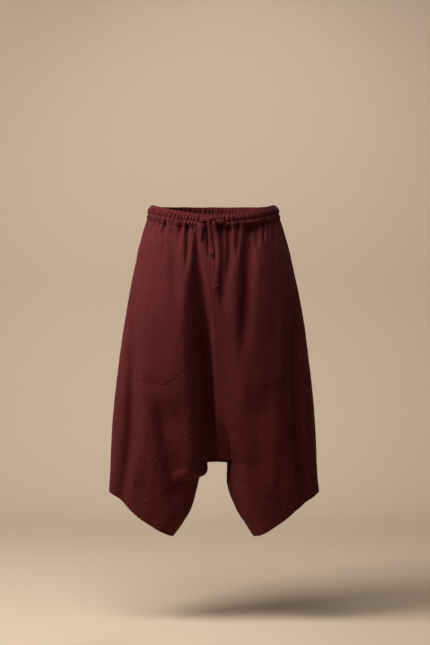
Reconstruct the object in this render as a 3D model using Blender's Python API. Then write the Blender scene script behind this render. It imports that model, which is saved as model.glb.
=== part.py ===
"""Cropped harem trousers with a gathered drawstring waistband, D-shaped patch pockets,
an arched crotch band and pointed lower leg pieces, filled out and open at waist and hems.

Frame: origin at the middle of the waist, +Z up, +X to the right of someone looking at
the front, the front faces -Y.  Metres in the scene, centimetres in the tables below.

Each half (side -1 or +1) is one sheet of cloth with two coordinates:
  u  0 at the front middle, 1 at the outer edge, 2 at the back middle, round the body
  v  0 at the top of the waistband, 1 at the hem
Panels are patches of that sheet between seam lines, thickened to a wall.
"""
import bpy
import math
import numpy as np

# ---------------------------------------------------------------- named sizes, cm
SIDE_LENGTH = 68.6      # waist top to the outer corner of the hem
CASING_V = 0.0525       # lower edge of the waistband, share of the side length
FOLD_V = 0.26           # where the crotch curve leaves the front and back
CROTCH_V = 0.83         # lowest point of the crotch curve
ROUND = 4.5             # how far from the inner line the section is rounded
PART_V = 0.85           # where the two legs are fully apart
WALL = 0.12             # cloth thickness
CASING_WALL = 0.42      # double cloth and elastic
GAP = 0.034             # between two pieces at a seam
CORD_R = 0.28           # half thickness of the drawstring
SCALE = 0.01            # centimetres to metres

COLOURS = {"body": (0.075, 0.016, 0.018), "cord": (0.085, 0.018, 0.020)}


def table(names, rows):
    """A short table with named columns, each column an array."""
    return {n: np.array([r[i] for r in rows], float) for i, n in enumerate(names.split())}


# Outline of each half against height below the waist top (z_out = -SIDE_LENGTH * v)
OUTER = table("drop left right", [
    (0.0, -14.75, 14.75), (1.2, -15.45, 15.40), (2.2, -15.60, 15.60), (3.6, -15.75, 15.80),
    (5.4, -16.40, 16.42), (8.5, -17.35, 17.35), (12.4, -18.35, 18.50), (20.0, -20.05, 20.32),
    (27.7, -21.27, 21.72), (37.3, -22.75, 22.85), (47.6, -23.93, 23.93), (58.0, -24.63, 24.60),
    (65.5, -24.95, 25.08), (68.6, -25.12, 25.35)])

# Middle seam down to the crotch, then the inner edge of each leg to its tip
INNER = table("v z left right", [
    (0.000, 0.0, 0.0, 0.0),
    (0.160, -11.8, -0.50, -0.50),
    (0.310, -22.9, -0.45, -0.45),
    (0.500, -36.9, 0.00, 0.00),
    (0.665, -49.05, 0.55, 0.55),
    (0.800, -59.3, 0.70, 0.70),
    (0.830, -61.3, 0.70, 0.70),
    (0.850, -61.5, -1.60, 3.40),
    (0.861, -62.6, -1.60, 3.45),
    (0.872, -63.7, -2.10, 3.42),
    (0.882, -64.8, -3.20, 3.38),
    (0.891, -65.9, -3.50, 3.36),
    (0.912, -68.3, -4.00, 3.75),
    (0.942, -72.0, -5.00, 5.15),
    (0.972, -75.8, -7.10, 7.40),
    (1.000, -79.2, -9.65, 9.60)])

# Where the rows of the sheet would end if the legs parted gradually
ROWS = table("v z left right", [
    (0.000, 0.0, 0.0, 0.0), (0.160, -11.8, -0.50, -0.50), (0.310, -22.9, -0.45, -0.45),
    (0.500, -36.9, 0.00, 0.00), (0.665, -49.05, 0.45, 0.60), (0.750, -55.4, 0.00, 1.00),
    (0.830, -61.3, -1.20, 1.90), (0.882, -65.3, -2.90, 3.00), (0.910, -68.2, -4.10, 3.80),
    (0.940, -71.7, -5.60, 5.20), (0.970, -75.5, -7.50, 7.20), (1.000, -79.2, -9.65, 9.60)])

# Half depth of the front and of the back, and how far the waist dips or rises there
DEPTH = table("v front back dip rise", [
    (0.00, 10.4, 10.4, -2.9, 0.45),
    (0.05, 10.9, 11.0, -2.4, 0.40),
    (0.12, 11.9, 12.4, -1.7, 0.30),
    (0.22, 12.9, 13.8, -1.0, 0.20),
    (0.35, 13.2, 14.2, -0.5, 0.10),
    (0.55, 12.6, 13.2, 0.0, 0.00),
    (0.75, 11.2, 11.4, 0.0, 0.00),
    (0.88, 9.0, 9.2, 0.0, 0.00),
    (1.00, 5.8, 6.0, 0.0, 0.00)])

# How far the section of each half has closed to a leg, away from the middle
CLOSE = table("v share", [
    (0.26, 0.00), (0.40, 0.03), (0.545, 0.09), (0.66, 0.18), (0.745, 0.28), (0.80, 0.36),
    (0.83, 0.40), (0.87, 0.47), (0.91, 0.55), (0.95, 0.63), (1.00, 0.74)])

# The outer strip beyond the side seam hangs flat like a flange: depth of the groove
# between it and the front
FLANGE = table("v depth", [
    (0.16, 0.0), (0.28, 0.8), (0.40, 2.0), (0.55, 2.9), (0.72, 3.0), (0.86, 2.4), (1.00, 1.2)])
# The hems swing down between their corners and tips
HEM_WAVE = table("x drop", [
    (-25.0, 0.0), (-22.5, -0.30), (-20.6, 0.10), (-18.6, 0.45), (-16.5, 0.58), (-13.5, 0.40),
    (-11.2, 0.12), (-9.6, 0.0), (9.6, 0.0), (11.0, 0.30), (12.4, 0.50), (14.5, 0.58),
    (16.4, 0.62), (18.3, 0.35), (20.0, 0.10), (21.8, 0.0), (26.0, 0.0)])

# Largest folds.  Three points down the fold, its reach to either side, its depth
# (troughs positive, ridges negative) and how far it fades in and out.
FOLDS = table("sheet x1 z1 x2 z2 x3 z3 left right depth fade_in fade_out", [
    (1, 3.1, -6.5, 2.7, -15.0, 1.9, -25.0, 0.9, 1.1, 0.9, 3.0, 8.0),
    (1, 8.1, -4.6, 7.5, -18.0, 6.2, -42.0, 1.0, 1.4, 1.2, 4.0, 18.0),
    (1, -9.4, -5.0, -9.3, -15.0, -8.6, -30.0, 1.1, 1.2, 0.6, 3.0, 14.0),
    (1, -12.5, -44.0, -10.9, -57.0, -6.6, -76.0, 1.6, 2.8, 1.7, 8.0, 9.0),
    (1, 10.6, -42.0, 10.4, -54.0, 11.5, -68.0, 2.2, 2.4, 0.8, 8.0, 8.0),
    (2, -2.8, -5.5, -2.2, -26.0, -1.0, -56.0, 1.3, 1.3, 1.8, 12.0, 8.0),
    (2, 4.6, -5.5, 3.8, -20.0, 2.6, -46.0, 1.2, 1.5, 1.3, 6.0, 14.0),
    (2, -8.6, -5.0, -9.0, -18.0, -9.6, -36.0, 1.4, 1.2, 0.9, 4.0, 14.0),
    (2, 9.8, -5.0, 10.4, -20.0, 11.4, -40.0, 1.3, 1.6, 0.9, 4.0, 16.0),
    (2, -12.0, -42.0, -11.6, -55.0, -9.6, -72.0, 2.0, 1.8, 1.2, 8.0, 9.0),
    (2, 12.4, -40.0, 11.8, -54.0, 10.0, -72.0, 1.8, 2.2, 1.1, 8.0, 9.0)])

# The deep fold beside the middle seam of the front: where its left wall starts and
# reaches the bottom, where the bottom ends and the right wall is over, from the seam
VALLEY = table("drop start deep full end depth", [
    (5.0, -5.0, -3.6, -3.2, -2.0, 0.0), (8.5, -5.0, -3.6, -3.2, -1.8, 1.2),
    (11.3, -5.0, -3.6, -3.1, -1.4, 2.0), (14.8, -5.1, -3.5, -3.0, -0.8, 2.6),
    (22.9, -5.4, -3.2, -2.6, 0.0, 3.2), (36.8, -5.3, -2.7, -1.5, 0.3, 3.7),
    (43.7, -5.2, -2.6, -1.2, 0.4, 3.9), (49.5, -5.0, -2.6, -1.0, 0.4, 3.8),
    (53.0, -4.8, -2.4, -0.8, 0.6, 3.0), (56.5, -4.4, -2.1, -0.6, 0.9, 1.5),
    (59.0, -4.0, -1.8, -0.5, 1.2, 0.0), (62.5, -3.8, -1.6, -0.5, 1.2, 0.0)])

# Front edge of the right leg where it hangs before the crotch: its place and how far
# the crotch lies behind it
LEG_RIDGE = table("drop x depth", [
    (47.5, 0.6, 0.0), (49.0, 1.1, 0.2), (51.7, 2.9, 0.8), (53.5, 3.7, 1.2), (56.0, 4.5, 1.3),
    (59.5, 4.8, 0.8), (61.8, 4.8, 0.0)])

# Seams on the front, half width and height; the back repeats them round the outer edge
ARCH_TOP = table("x z", [
    (3.1, -52.1), (5.2, -54.0), (7.6, -55.8), (10.4, -57.6), (12.6, -59.3),
    (14.1, -60.8), (16.5, -63.5), (18.7, -66.3)])
ARCH_LOW = table("x z", [
    (6.2, -65.1), (7.9, -65.5), (9.7, -66.6), (11.9, -68.1), (14.9, -70.2), (17.2, -71.4)])
APEX_V = 0.665          # where the upper arch meets the middle seam
INSEAM_V = 0.884        # where the lower arch meets the inner edge of the leg
HEM_TOP_X = 21.8        # ends of the two arches on the hem, half width
HEM_LOW_X = 19.3
SIDE_SEAM = table("v share", [   # side seam as a share of the half width
    (0.0525, 0.996), (0.18, 0.990), (0.265, 0.925), (0.46, 0.820),
    (0.61, 0.770), (0.80, 0.752), (0.93, 0.757)])

# Pocket outline on the front, half width and height: opening, then down the inner edge
POCKET = table("x z", [
    (18.6, -12.6), (17.2, -12.0), (14.5, -10.9), (10.7, -8.7), (9.8, -11.4),
    (8.9, -14.2), (5.4, -21.5), (1.9, -28.9), (3.3, -32.7), (5.0, -36.3), (7.2, -39.3),
    (9.9, -41.6), (12.0, -42.4), (14.1, -42.2), (15.9, -41.6), (18.6, -40.4)])


# ---------------------------------------------------------------- curves and sheet
def curve(tab, key, name, at):
    """Smooth curve through a table's column, without overshoot."""
    xs, ys = tab[key], tab[name]
    at = np.clip(np.asarray(at, float), xs[0], xs[-1])
    h = np.diff(xs)
    d = np.diff(ys) / h
    m = np.zeros_like(ys)
    same = d[:-1] * d[1:] > 0
    m[1:-1][same] = 2 * d[:-1][same] * d[1:][same] / (d[:-1] + d[1:])[same]
    m[0], m[-1] = d[0], d[-1]
    i = np.clip(np.searchsorted(xs, at, side="right") - 1, 0, len(xs) - 2)
    t = (at - xs[i]) / h[i]
    return ((1 + 2 * t) * (1 - t) ** 2 * ys[i] + t * (1 - t) ** 2 * h[i] * m[i]
            + t * t * (3 - 2 * t) * ys[i + 1] + t * t * (t - 1) * h[i] * m[i + 1])


def step(t):
    t = np.clip(t, 0, 1)
    return t * t * (3 - 2 * t)


def closing(u, v):
    """How far the section has closed to a leg: round at the inner line, slow elsewhere."""
    t = np.clip((v - FOLD_V) / (CROTCH_V - FOLD_V), 0, 1)
    middle = 1 - np.sqrt(np.maximum(1 - t * t, 0))
    leg = curve(CLOSE, "v", "share", v)
    return leg + (middle - leg) * (1 - step(np.minimum(np.abs(u), 2 - u) / 0.30))


INNER_LINE = np.concatenate([
    np.stack([curve(INNER, "v", e, vs), curve(INNER, "v", "z", vs)], -1)
    for e, vs in (("left", np.linspace(1.0, CROTCH_V, 90)),
                  ("right", np.linspace(CROTCH_V, 1.0, 90)[1:]))])


def from_inner(x, z):
    """Distance from the line under the crotch and down the inner edges of the legs."""
    px, pz = x[..., None], z[..., None]
    ax, az = INNER_LINE[:-1, 0], INNER_LINE[:-1, 1]
    dx, dz = np.diff(INNER_LINE[:, 0]), np.diff(INNER_LINE[:, 1])
    s = np.clip(((px - ax) * dx + (pz - az) * dz) / (dx * dx + dz * dz), 0, 1)
    return np.sqrt(((px - ax - s * dx) ** 2 + (pz - az - s * dz) ** 2).min(axis=-1))


def folds(sheet, x, z):
    """Depth of the folds at a place on the front (1) or back (2)."""
    total = np.zeros_like(x)
    for k in range(len(FOLDS["sheet"])):
        f = {n: c[k] for n, c in FOLDS.items()}
        if f["sheet"] != sheet:
            continue
        a = (z - f["z2"]) * (z - f["z3"]) / ((f["z1"] - f["z2"]) * (f["z1"] - f["z3"]))
        b = (z - f["z1"]) * (z - f["z3"]) / ((f["z2"] - f["z1"]) * (f["z2"] - f["z3"]))
        c = (z - f["z1"]) * (z - f["z2"]) / ((f["z3"] - f["z1"]) * (f["z3"] - f["z2"]))
        away = x - (a * f["x1"] + b * f["x2"] + c * f["x3"])
        reach = np.where(away < 0, f["left"], f["right"])
        here = step((f["z1"] - z) / f["fade_in"]) * step((z - f["z3"]) / f["fade_out"])
        total += f["depth"] * here * np.exp(-0.5 * (away / reach) ** 2)
    return total


def valley(x, z):
    """Depth of the deep fold beside the middle seam and of the recess right of it."""
    k = {n: curve(VALLEY, "drop", n, -z) for n in ("start", "deep", "full", "end", "depth")}
    away = x - np.interp(-z, -INNER["z"][:7], INNER["left"][:7])
    lip = step((away - k["start"]) / (k["deep"] - k["start"]))
    fold = k["depth"] * lip * (1 - step((away - k["full"]) / (k["end"] - k["full"])))
    ridge = curve(LEG_RIDGE, "drop", "x", -z)
    recess = (curve(LEG_RIDGE, "drop", "depth", -z) * (1 - step((x - ridge + 1.5) / 1.9))
              * step((x + 0.6) / 4.2))
    return np.maximum(fold, recess)


def wave(x, v):
    """Drop of the hem between its corner and its tip."""
    return curve(HEM_WAVE, "x", "drop", x) * step((v - 0.90) / 0.10)


def flat_place(side, u, v):
    """Place of a sheet point seen from the front, and its share of the section."""
    u = np.where((u < 0) & (v > CROTCH_V), u + 2, u)
    w = closing(u, v)
    a = np.pi * u
    f = (1 - w) * np.sin(a / 2) + w * (1 - np.cos(a)) / 2
    g = (1 - w) * np.cos(a / 2) + w * np.sin(a)
    edge = "left" if side < 0 else "right"
    xo = curve(OUTER, "drop", edge, SIDE_LENGTH * v)
    xs, zs = curve(ROWS, "v", edge, v), curve(ROWS, "v", "z", v)
    near = np.clip(1 - f, 0, 1.2) ** 4
    dip = np.where(g > 0, curve(DEPTH, "v", "dip", v), curve(DEPTH, "v", "rise", v))
    x = xs + (xo - xs) * f + (curve(INNER, "v", edge, v) - xs) * near
    z = (zs + (-SIDE_LENGTH * v - zs) * f + (curve(INNER, "v", "z", v) - zs) * near
         + dip * g * g)
    return x, z - wave(x, v), f, g


def section(side, x, z, v):
    """Share of the depth at a place: the closing section, rounded at the inner line."""
    edge = "left" if side < 0 else "right"
    xo = curve(OUTER, "drop", edge, SIDE_LENGTH * v)
    xi = curve(INNER, "v", edge, np.minimum(v, CROTCH_V))
    share = np.clip((x - xi) / (xo - xi), 0, 1)
    w = curve(CLOSE, "v", "share", v)
    s = 2 * share / ((1 - w) + np.sqrt((1 - w) ** 2 + 4 * w * share) + 1e-12)
    t = 1 - np.clip(from_inner(x, z) / ROUND, 0, 1)
    return np.sqrt(np.clip(1 - s * s, 0, 1)) * (1 - w + 2 * w * s) * np.sqrt(1 - t * t)


def sheet(side, u, v):
    """Point of the cloth, cm."""
    u, v = np.broadcast_arrays(np.asarray(u, float), np.asarray(v, float))
    x, z, f, g = flat_place(side, u, v)
    deep = section(side, x, z + wave(x, v), v)
    calm = step(deep / 0.45)
    seam = f - curve(SIDE_SEAM, "v", "share", v) - 0.035
    flange = (curve(FLANGE, "v", "depth", v) * np.exp(-0.5 * (seam / np.where(
        seam < 0, 0.045, 0.058)) ** 2) * step(deep / 0.30))
    y = np.where(g > 0,
                 -deep * curve(DEPTH, "v", "front", v) + calm * (folds(1, x, z) + valley(x, z))
                 + flange,
                 deep * curve(DEPTH, "v", "back", v) - calm * folds(2, x, z) - 0.35 * flange)
    return np.stack([x, y, z], axis=-1)


def normal(side, u, v):
    e = 0.008
    du = sheet(side, u + e, v) - sheet(side, u - e, v)
    dv = sheet(side, u, np.minimum(v + e, 1.0)) - sheet(side, u, np.maximum(v - e, 0.0))
    n = np.cross(du, dv) * -side        # outwards on both halves
    return n / np.linalg.norm(n, axis=-1, keepdims=True)


def u_for_share(share, v):
    """u on the front at which the place is this share of the half width."""
    us = np.linspace(0, 1, 801)
    w = closing(us, np.full(801, float(v)))
    f = (1 - w) * np.sin(np.pi * us / 2) + w * (1 - np.cos(np.pi * us)) / 2
    return float(np.interp(share, f, us))


def find(side, x, z):
    """Sheet coordinates of a front place given by its half width and height."""
    us = np.linspace(0, 1, 801)
    v = min(-z / SIDE_LENGTH, 1.0)
    for _ in range(40):
        xs, zs = flat_place(side, us, np.full(801, v))[:2]
        u = float(np.interp(x, side * xs, us))
        v = min(max(v + (float(np.interp(u, us, zs)) - z) / 75.0, 0.0), 1.0)
    return u, v


def through(points, n, ease=1.0):
    """n + 1 points spread along a smooth line through a few sheet points."""
    p = np.array(points, float)
    size = np.array([20.0, 70.0])
    s = np.concatenate([[0], np.cumsum(np.linalg.norm(np.diff(p, axis=0) * size, axis=1))])
    tab = {"s": s / s[-1], "u": p[:, 0], "v": p[:, 1]}
    t = np.linspace(0, 1, n + 1) ** ease
    return np.stack([curve(tab, "s", "u", t), curve(tab, "s", "v", t)], axis=-1)


def join(*lines):
    out = [lines[0]]
    for line in lines[1:]:
        out.append(line[1:])
    return np.concatenate(out)


def patch(top, bottom, left, right):
    """Grid of sheet points between four edges that meet at their ends."""
    n, m = len(top) - 1, len(left) - 1
    s = (np.arange(n + 1) / n)[None, :, None]
    t = (np.arange(m + 1) / m)[:, None, None]
    return ((1 - t) * top[None] + t * bottom[None] + (1 - s) * left[:, None]
            + s * right[:, None] - (1 - s) * (1 - t) * top[0] - s * (1 - t) * top[-1]
            - (1 - s) * t * bottom[0] - s * t * bottom[-1])


# ---------------------------------------------------------------- solids
def pull_in(points, normals):
    """Draws a grid's rim in by half a seam gap, within the cloth."""
    out = points.copy()

    def move(edge, inner, n):
        along = np.gradient(edge, axis=0)
        d = np.cross(n, along)
        d /= np.linalg.norm(d, axis=1, keepdims=True) + 1e-9
        toward = np.sign(np.sum(d * (inner - edge), axis=1, keepdims=True))
        return d * toward * GAP / 2

    out[0] += move(points[0], points[1], normals[0])
    out[-1] += move(points[-1], points[-2], normals[-1])
    out[:, 0] += move(points[:, 0], points[:, 1], normals[:, 0])
    out[:, -1] += move(points[:, -1], points[:, -2], normals[:, -1])
    return out


def wall_faces(m, n, closed):
    """Triangles of a wall whose outer and inner grids have (m + 1) x (n + 1) points."""
    cols = n if closed else n + 1
    count = (m + 1) * cols

    def at(i, j, layer):
        return layer * count + i * cols + (j % cols)

    faces = []
    for i in range(m):
        for j in range(n):
            a, b, c, d = at(i, j, 0), at(i, j + 1, 0), at(i + 1, j + 1, 0), at(i + 1, j, 0)
            faces += [(a, b, c), (a, c, d)]
            a, b, c, d = at(i, j, 1), at(i, j + 1, 1), at(i + 1, j + 1, 1), at(i + 1, j, 1)
            faces += [(a, c, b), (a, d, c)]
    for j in range(n):
        a, b, c, d = at(0, j, 0), at(0, j + 1, 0), at(0, j, 1), at(0, j + 1, 1)
        faces += [(b, a, c), (b, c, d)]
        a, b, c, d = at(m, j, 0), at(m, j + 1, 0), at(m, j, 1), at(m, j + 1, 1)
        faces += [(a, b, c), (b, d, c)]
    if not closed:
        for i in range(m):
            a, b, c, d = at(i, 0, 0), at(i + 1, 0, 0), at(i, 0, 1), at(i + 1, 0, 1)
            faces += [(a, b, c), (b, d, c)]
            a, b, c, d = at(i, n, 0), at(i + 1, n, 0), at(i, n, 1), at(i + 1, n, 1)
            faces += [(b, a, c), (b, c, d)]
    return faces


def material(name):
    mat = bpy.data.materials.new(name)
    mat.use_nodes = True
    shader = mat.node_tree.nodes["Principled BSDF"]
    shader.inputs["Base Color"].default_value = (*COLOURS[name], 1.0)
    shader.inputs["Roughness"].default_value = 0.85
    shader.inputs["Metallic"].default_value = 0.0
    mat.diffuse_color = (*COLOURS[name], 1.0)
    return mat


def add_mesh(name, verts, faces, mat):
    mesh = bpy.data.meshes.new(name)
    mesh.from_pydata([tuple(p) for p in np.asarray(verts) * SCALE], [], faces)
    mesh.validate()
    mesh.shade_smooth()
    mesh.set_sharp_from_angle(angle=math.radians(50))
    obj = bpy.data.objects.new(name, mesh)
    bpy.context.scene.collection.objects.link(obj)
    mesh.materials.append(mat)
    obj.parent = ROOT
    return obj


def wall(name, side, grid, mat, middle=None, low=-WALL / 2, high=WALL / 2):
    """A panel: its grid of sheet points thickened between two levels."""
    u, v = grid[..., 0], grid[..., 1]
    bare = sheet(side, u, v)
    n = normal(side, u, v)
    p = pull_in(bare, n)
    m, k = grid.shape[0] - 1, grid.shape[1] - 1
    if middle is not None:
        # the two halves share one line here: same normals, gap taken sideways above
        # the crotch and front to back below it
        line_v, facing = v[:, middle], -1.0 if middle == 0 else 1.0
        above, below = line_v < CROTCH_V + 1e-6, line_v > CROTCH_V - 1e-6
        n[above, middle, 0] = 0.0
        n[:, middle] /= np.linalg.norm(n[:, middle], axis=-1, keepdims=True)
        rim = bare[:, middle].copy()
        rim[:, 0] += np.where(above, side * GAP / 2, 0.0)
        rim[:, 1] += np.where(below, facing * GAP / 2, 0.0)
        for end, near in ((0, 1), (-1, -2)):
            d = bare[near, middle] - bare[end, middle]
            rim[end] += d / np.linalg.norm(d) * GAP / 2
        p[:, middle] = rim
    outer, inner = p + n * high, p + n * low
    verts = np.concatenate([outer.reshape(-1, 3), inner.reshape(-1, 3)])
    faces = wall_faces(m, k, False)
    a, b, c = outer[m // 2, k // 2], outer[m // 2, k // 2 + 1], outer[m // 2 + 1, k // 2 + 1]
    if np.dot(np.cross(b - a, c - a), n[m // 2, k // 2]) < 0:
        faces = [f[::-1] for f in faces]
    return add_mesh(name, verts, faces, mat)


def seams(side):
    """All seam lines of one half, in sheet coordinates."""
    apex = (0.0, APEX_V)
    pts = [find(side, x, z) for x, z in zip(ARCH_TOP["x"], ARCH_TOP["z"])]
    corner = pts[-1]

    def hem_u(x):
        us = np.linspace(0, 1, 801)
        xs = flat_place(side, us, np.ones(801))[0]
        return float(np.interp(x, side * xs, us))

    top_hem, low_hem = (hem_u(HEM_TOP_X), 1.0), (hem_u(HEM_LOW_X), 1.0)
    low = [(0.0, INSEAM_V)] + [find(side, x, z) for x, z in zip(ARCH_LOW["x"], ARCH_LOW["z"])]
    line = {}
    line["arch_in"] = through([apex] + pts, 13, 1.5)
    line["arch_out"] = through([corner, ((corner[0] + top_hem[0]) / 2, (corner[1] + 1) / 2 + 0.003),
                                top_hem], 3)
    line["low"] = through(low + [low_hem], 16)
    side_v = np.linspace(CASING_V, corner[1], 9)
    pts_side = [(u_for_share(float(curve(SIDE_SEAM, "v", "share", s)), s), s) for s in side_v[:-1]]
    line["side"] = through(pts_side + [corner], 16)
    line["waist_front"] = through([(0.0, CASING_V), tuple(line["side"][0])], 13, 1.1)
    line["waist_back"] = through([tuple(line["side"][0]), (2.0, CASING_V)], 16)
    line["middle"] = through([(0.0, CASING_V), apex], 16)
    line["middle_low"] = join(through([apex, (0.0, CROTCH_V)], 3),
                              through([(0.0, CROTCH_V), (0.0, PART_V)], 1),
                              through([(0.0, PART_V), (0.0, INSEAM_V)], 2))
    line["hem_short"] = through([top_hem, low_hem], 6)
    line["hem_corner"] = join(through([top_hem, (1.0, 1.0)], 2),
                              through([(1.0, 1.0), (2 - top_hem[0], 1.0)], 2))
    start = (low_hem[0] - 0.06, 1.0)
    line["leg_edge"] = through([low_hem, start], 4)
    line["hem_leg"] = through([start, (0.0, 1.0)], 16)
    return line


def behind(line):
    """The same seam on the back."""
    out = line.copy()
    out[:, 0] = 2 - out[:, 0]
    return out


def round_fold(line):
    """The same seam on the back, reached over the inner fold of the leg."""
    out = line.copy()
    out[:, 0] = -out[:, 0]
    return out


def half(side):
    tag = "left" if side < 0 else "right"
    s = seams(side)
    arch = join(s["arch_in"], s["arch_out"])

    # front body panel
    front = patch(s["waist_front"], s["arch_in"], s["middle"], s["side"])
    wall("front_" + tag, side, front, BODY, 0)

    # back body panel, over the outer edge and down to the hem corner
    arch_back = through([tuple(p) for p in behind(arch)[::-1]], 12, 0.9)
    back = patch(s["waist_back"], join(s["hem_corner"], arch_back),
                 join(s["side"], s["arch_out"]), behind(np.concatenate([
                     through([(0.0, CASING_V), (0.0, APEX_V)], 19)])))
    wall("back_" + tag, side, back, BODY, -1)

    # crotch band, front and back
    band = patch(arch, s["low"], s["middle_low"], s["hem_short"])
    wall("band_front_" + tag, side, band, BODY, 0)
    low_back = through([tuple(p) for p in behind(s["low"])[::-1]], 12, 0.9)
    band_back = patch(arch_back, low_back, behind(s["hem_short"]), behind(s["middle_low"]))
    wall("band_back_" + tag, side, band_back, BODY, -1)

    # lower leg piece, from the front hem over the inner fold to the back hem
    top = join(s["low"][::-1], np.stack([low_back[::-1][:, 0] - 2, low_back[::-1][:, 1]], -1))
    back_hem = through([(0.0, 1.0), (-s["hem_leg"][0][0], 1.0)], 12)
    bottom = join(s["hem_leg"], back_hem)
    ends = s["leg_edge"]
    leg = patch(top, bottom, ends, round_fold(ends))[:, ::-1]
    wall("leg_" + tag, side, leg, BODY)

    # pocket: the front panel's own points moved out, trimmed to the pocket's outline
    pocket = wall("pocket_" + tag, side, front[:14, 1:], BODY, None,
                  WALL / 2 + 0.03, WALL / 2 + 0.03 + WALL)
    xs, zs = POCKET["x"] * side, POCKET["z"]
    ring = [(x, y, z) for y in (-30.0, -2.0) for x, z in zip(xs, zs)]
    k = len(xs)
    faces = [tuple(range(k)), tuple(range(2 * k - 1, k - 1, -1))]
    faces += [(i, i + k, (i + 1) % k + k, (i + 1) % k) for i in range(k)]
    if side < 0:
        faces = [f[::-1] for f in faces]
    shape = add_mesh("pocket_shape_" + tag, ring, faces, BODY)
    shape.hide_render = True
    shape.display_type = "WIRE"
    trim = pocket.modifiers.new("trim", "BOOLEAN")
    trim.operation = "INTERSECT"
    trim.solver = "EXACT"
    trim.object = shape


def waistband():
    """Ring of the casing, both halves in one piece."""
    per_half, rows = 30, 3
    us = np.linspace(0, 2, per_half + 1)
    vs = np.linspace(0.0, CASING_V - 0.03 / SIDE_LENGTH, rows + 1)
    puff = np.array([-0.10, 0.09, 0.07, -0.06])
    ring = []
    for side, order in ((1, us[:-1]), (-1, us[::-1][:-1])):
        u, v = np.meshgrid(order, vs)
        p, n = sheet(side, u, v), normal(side, u, v)
        level = n.copy()
        level[..., 2] = 0
        level /= np.linalg.norm(level, axis=-1, keepdims=True)
        ring.append((p, level))
    p = np.concatenate([ring[0][0], ring[1][0]], axis=1)
    n = np.concatenate([ring[0][1], ring[1][1]], axis=1)
    outer = p + n * (WALL / 2 + 0.02 + puff[:, None, None])
    inner = p + n * (WALL / 2 + 0.02 - CASING_WALL - 0.5 * puff[:, None, None])
    verts = np.concatenate([outer.reshape(-1, 3), inner.reshape(-1, 3)])
    faces = [f[::-1] for f in wall_faces(rows, p.shape[1], True)]
    return add_mesh("waistband", verts, faces, BODY)


# ---------------------------------------------------------------- drawstring
def front_y(x, z):
    """Depth of the front at a place near the middle."""
    side = 1 if x > 0 else -1
    u, v = find(side, abs(x), z)
    return float(sheet(side, np.array(u), np.array(v))[1])


def lay_on(points, lift):
    """Route points in front of the cloth: each stands off it by the lift."""
    out = []
    for x, z in points:
        y = min(front_y(x + dx, z) for dx in (-0.5, 0.0, 0.5))
        out.append((x, y - lift, z))
    return np.array(out)


def smooth_route(route, n):
    """n + 1 points on one smooth curve through the route's points."""
    s = np.concatenate([[0], np.cumsum(np.linalg.norm(np.diff(route, axis=0), axis=1))])
    tab = {"s": s, "x": route[:, 0], "y": route[:, 1], "z": route[:, 2]}
    t = np.linspace(0, s[-1], n + 1)
    p = np.stack([curve(tab, "s", k, t) for k in "xyz"], -1)
    for _ in range(6):
        p[1:-1] = (p[:-2] + 2 * p[1:-1] + p[2:]) / 4
    return p


def tube(name, points):
    data = bpy.data.curves.new(name, "CURVE")
    data.dimensions = "3D"
    spline = data.splines.new("POLY")
    spline.points.add(len(points) - 1)
    for q, p in zip(spline.points, np.asarray(points) * SCALE):
        q.co = (*p, 1.0)
    data.bevel_depth = CORD_R * SCALE
    data.bevel_resolution = 2
    data.use_fill_caps = True
    obj = bpy.data.objects.new(name, data)
    bpy.context.scene.collection.objects.link(obj)
    data.materials.append(CORD)
    obj.parent = ROOT
    return obj


KNOT = (-0.55, -3.75)            # place of the knot on the waistband
KNOT_HALF = (0.62, 0.42, 0.72)   # its half sizes
RUN_LEFT = [(-3.10, -3.55), (-2.3, -3.45), (-1.32, -3.55)]
RUN_RIGHT = [(2.70, -4.05), (1.6, -3.95), (0.22, -3.80)]
TAIL_LEFT = [(-0.95, -4.62), (-0.75, -7.6), (-0.55, -10.4), (-0.45, -12.6)]
TAIL_RIGHT = [(-0.20, -4.62), (0.50, -7.6), (0.85, -10.4), (0.95, -13.4), (0.85, -16.8),
              (0.60, -20.1)]


def drawstring():
    kx, kz = KNOT
    base = lay_on([KNOT], 0.0)[0]
    centre = np.array([kx, base[1] - 0.72, kz])
    verts, faces = [], []
    rings, around = 8, 12
    for i in range(1, rings):
        lat = math.pi * i / rings
        for j in range(around):
            a = 2 * math.pi * j / around
            verts.append(centre + np.array([
                KNOT_HALF[0] * math.sin(lat) * math.cos(a),
                KNOT_HALF[1] * math.sin(lat) * math.sin(a),
                KNOT_HALF[2] * math.cos(lat)]))
    for i in range(rings - 2):
        for j in range(around):
            a, b = i * around + j, i * around + (j + 1) % around
            faces.append((a, a + around, b + around, b))
    verts += [centre + np.array([0, 0, KNOT_HALF[2]]), centre - np.array([0, 0, KNOT_HALF[2]])]
    top, low = len(verts) - 2, len(verts) - 1
    last = (rings - 2) * around
    for j in range(around):
        faces.append((top, j, (j + 1) % around))
        faces.append((low, last + (j + 1) % around, last + j))
    add_mesh("knot", verts, faces, CORD)
    for name, route, lift, n in (("cord_run_left", RUN_LEFT, 0.54, 6),
                                 ("cord_run_right", RUN_RIGHT, 0.54, 8),
                                 ("tail_left", TAIL_LEFT, 0.50, 12),
                                 ("tail_right", TAIL_RIGHT, 0.50, 20)):
        tube(name, smooth_route(lay_on(route, lift), n))


# ---------------------------------------------------------------- build
for old in list(bpy.data.objects):
    bpy.data.objects.remove(old)
ROOT = bpy.data.objects.new("trousers", None)
bpy.context.scene.collection.objects.link(ROOT)
BODY = material("body")
CORD = material("cord")
half(-1)
half(1)
waistband()
drawstring()
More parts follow.
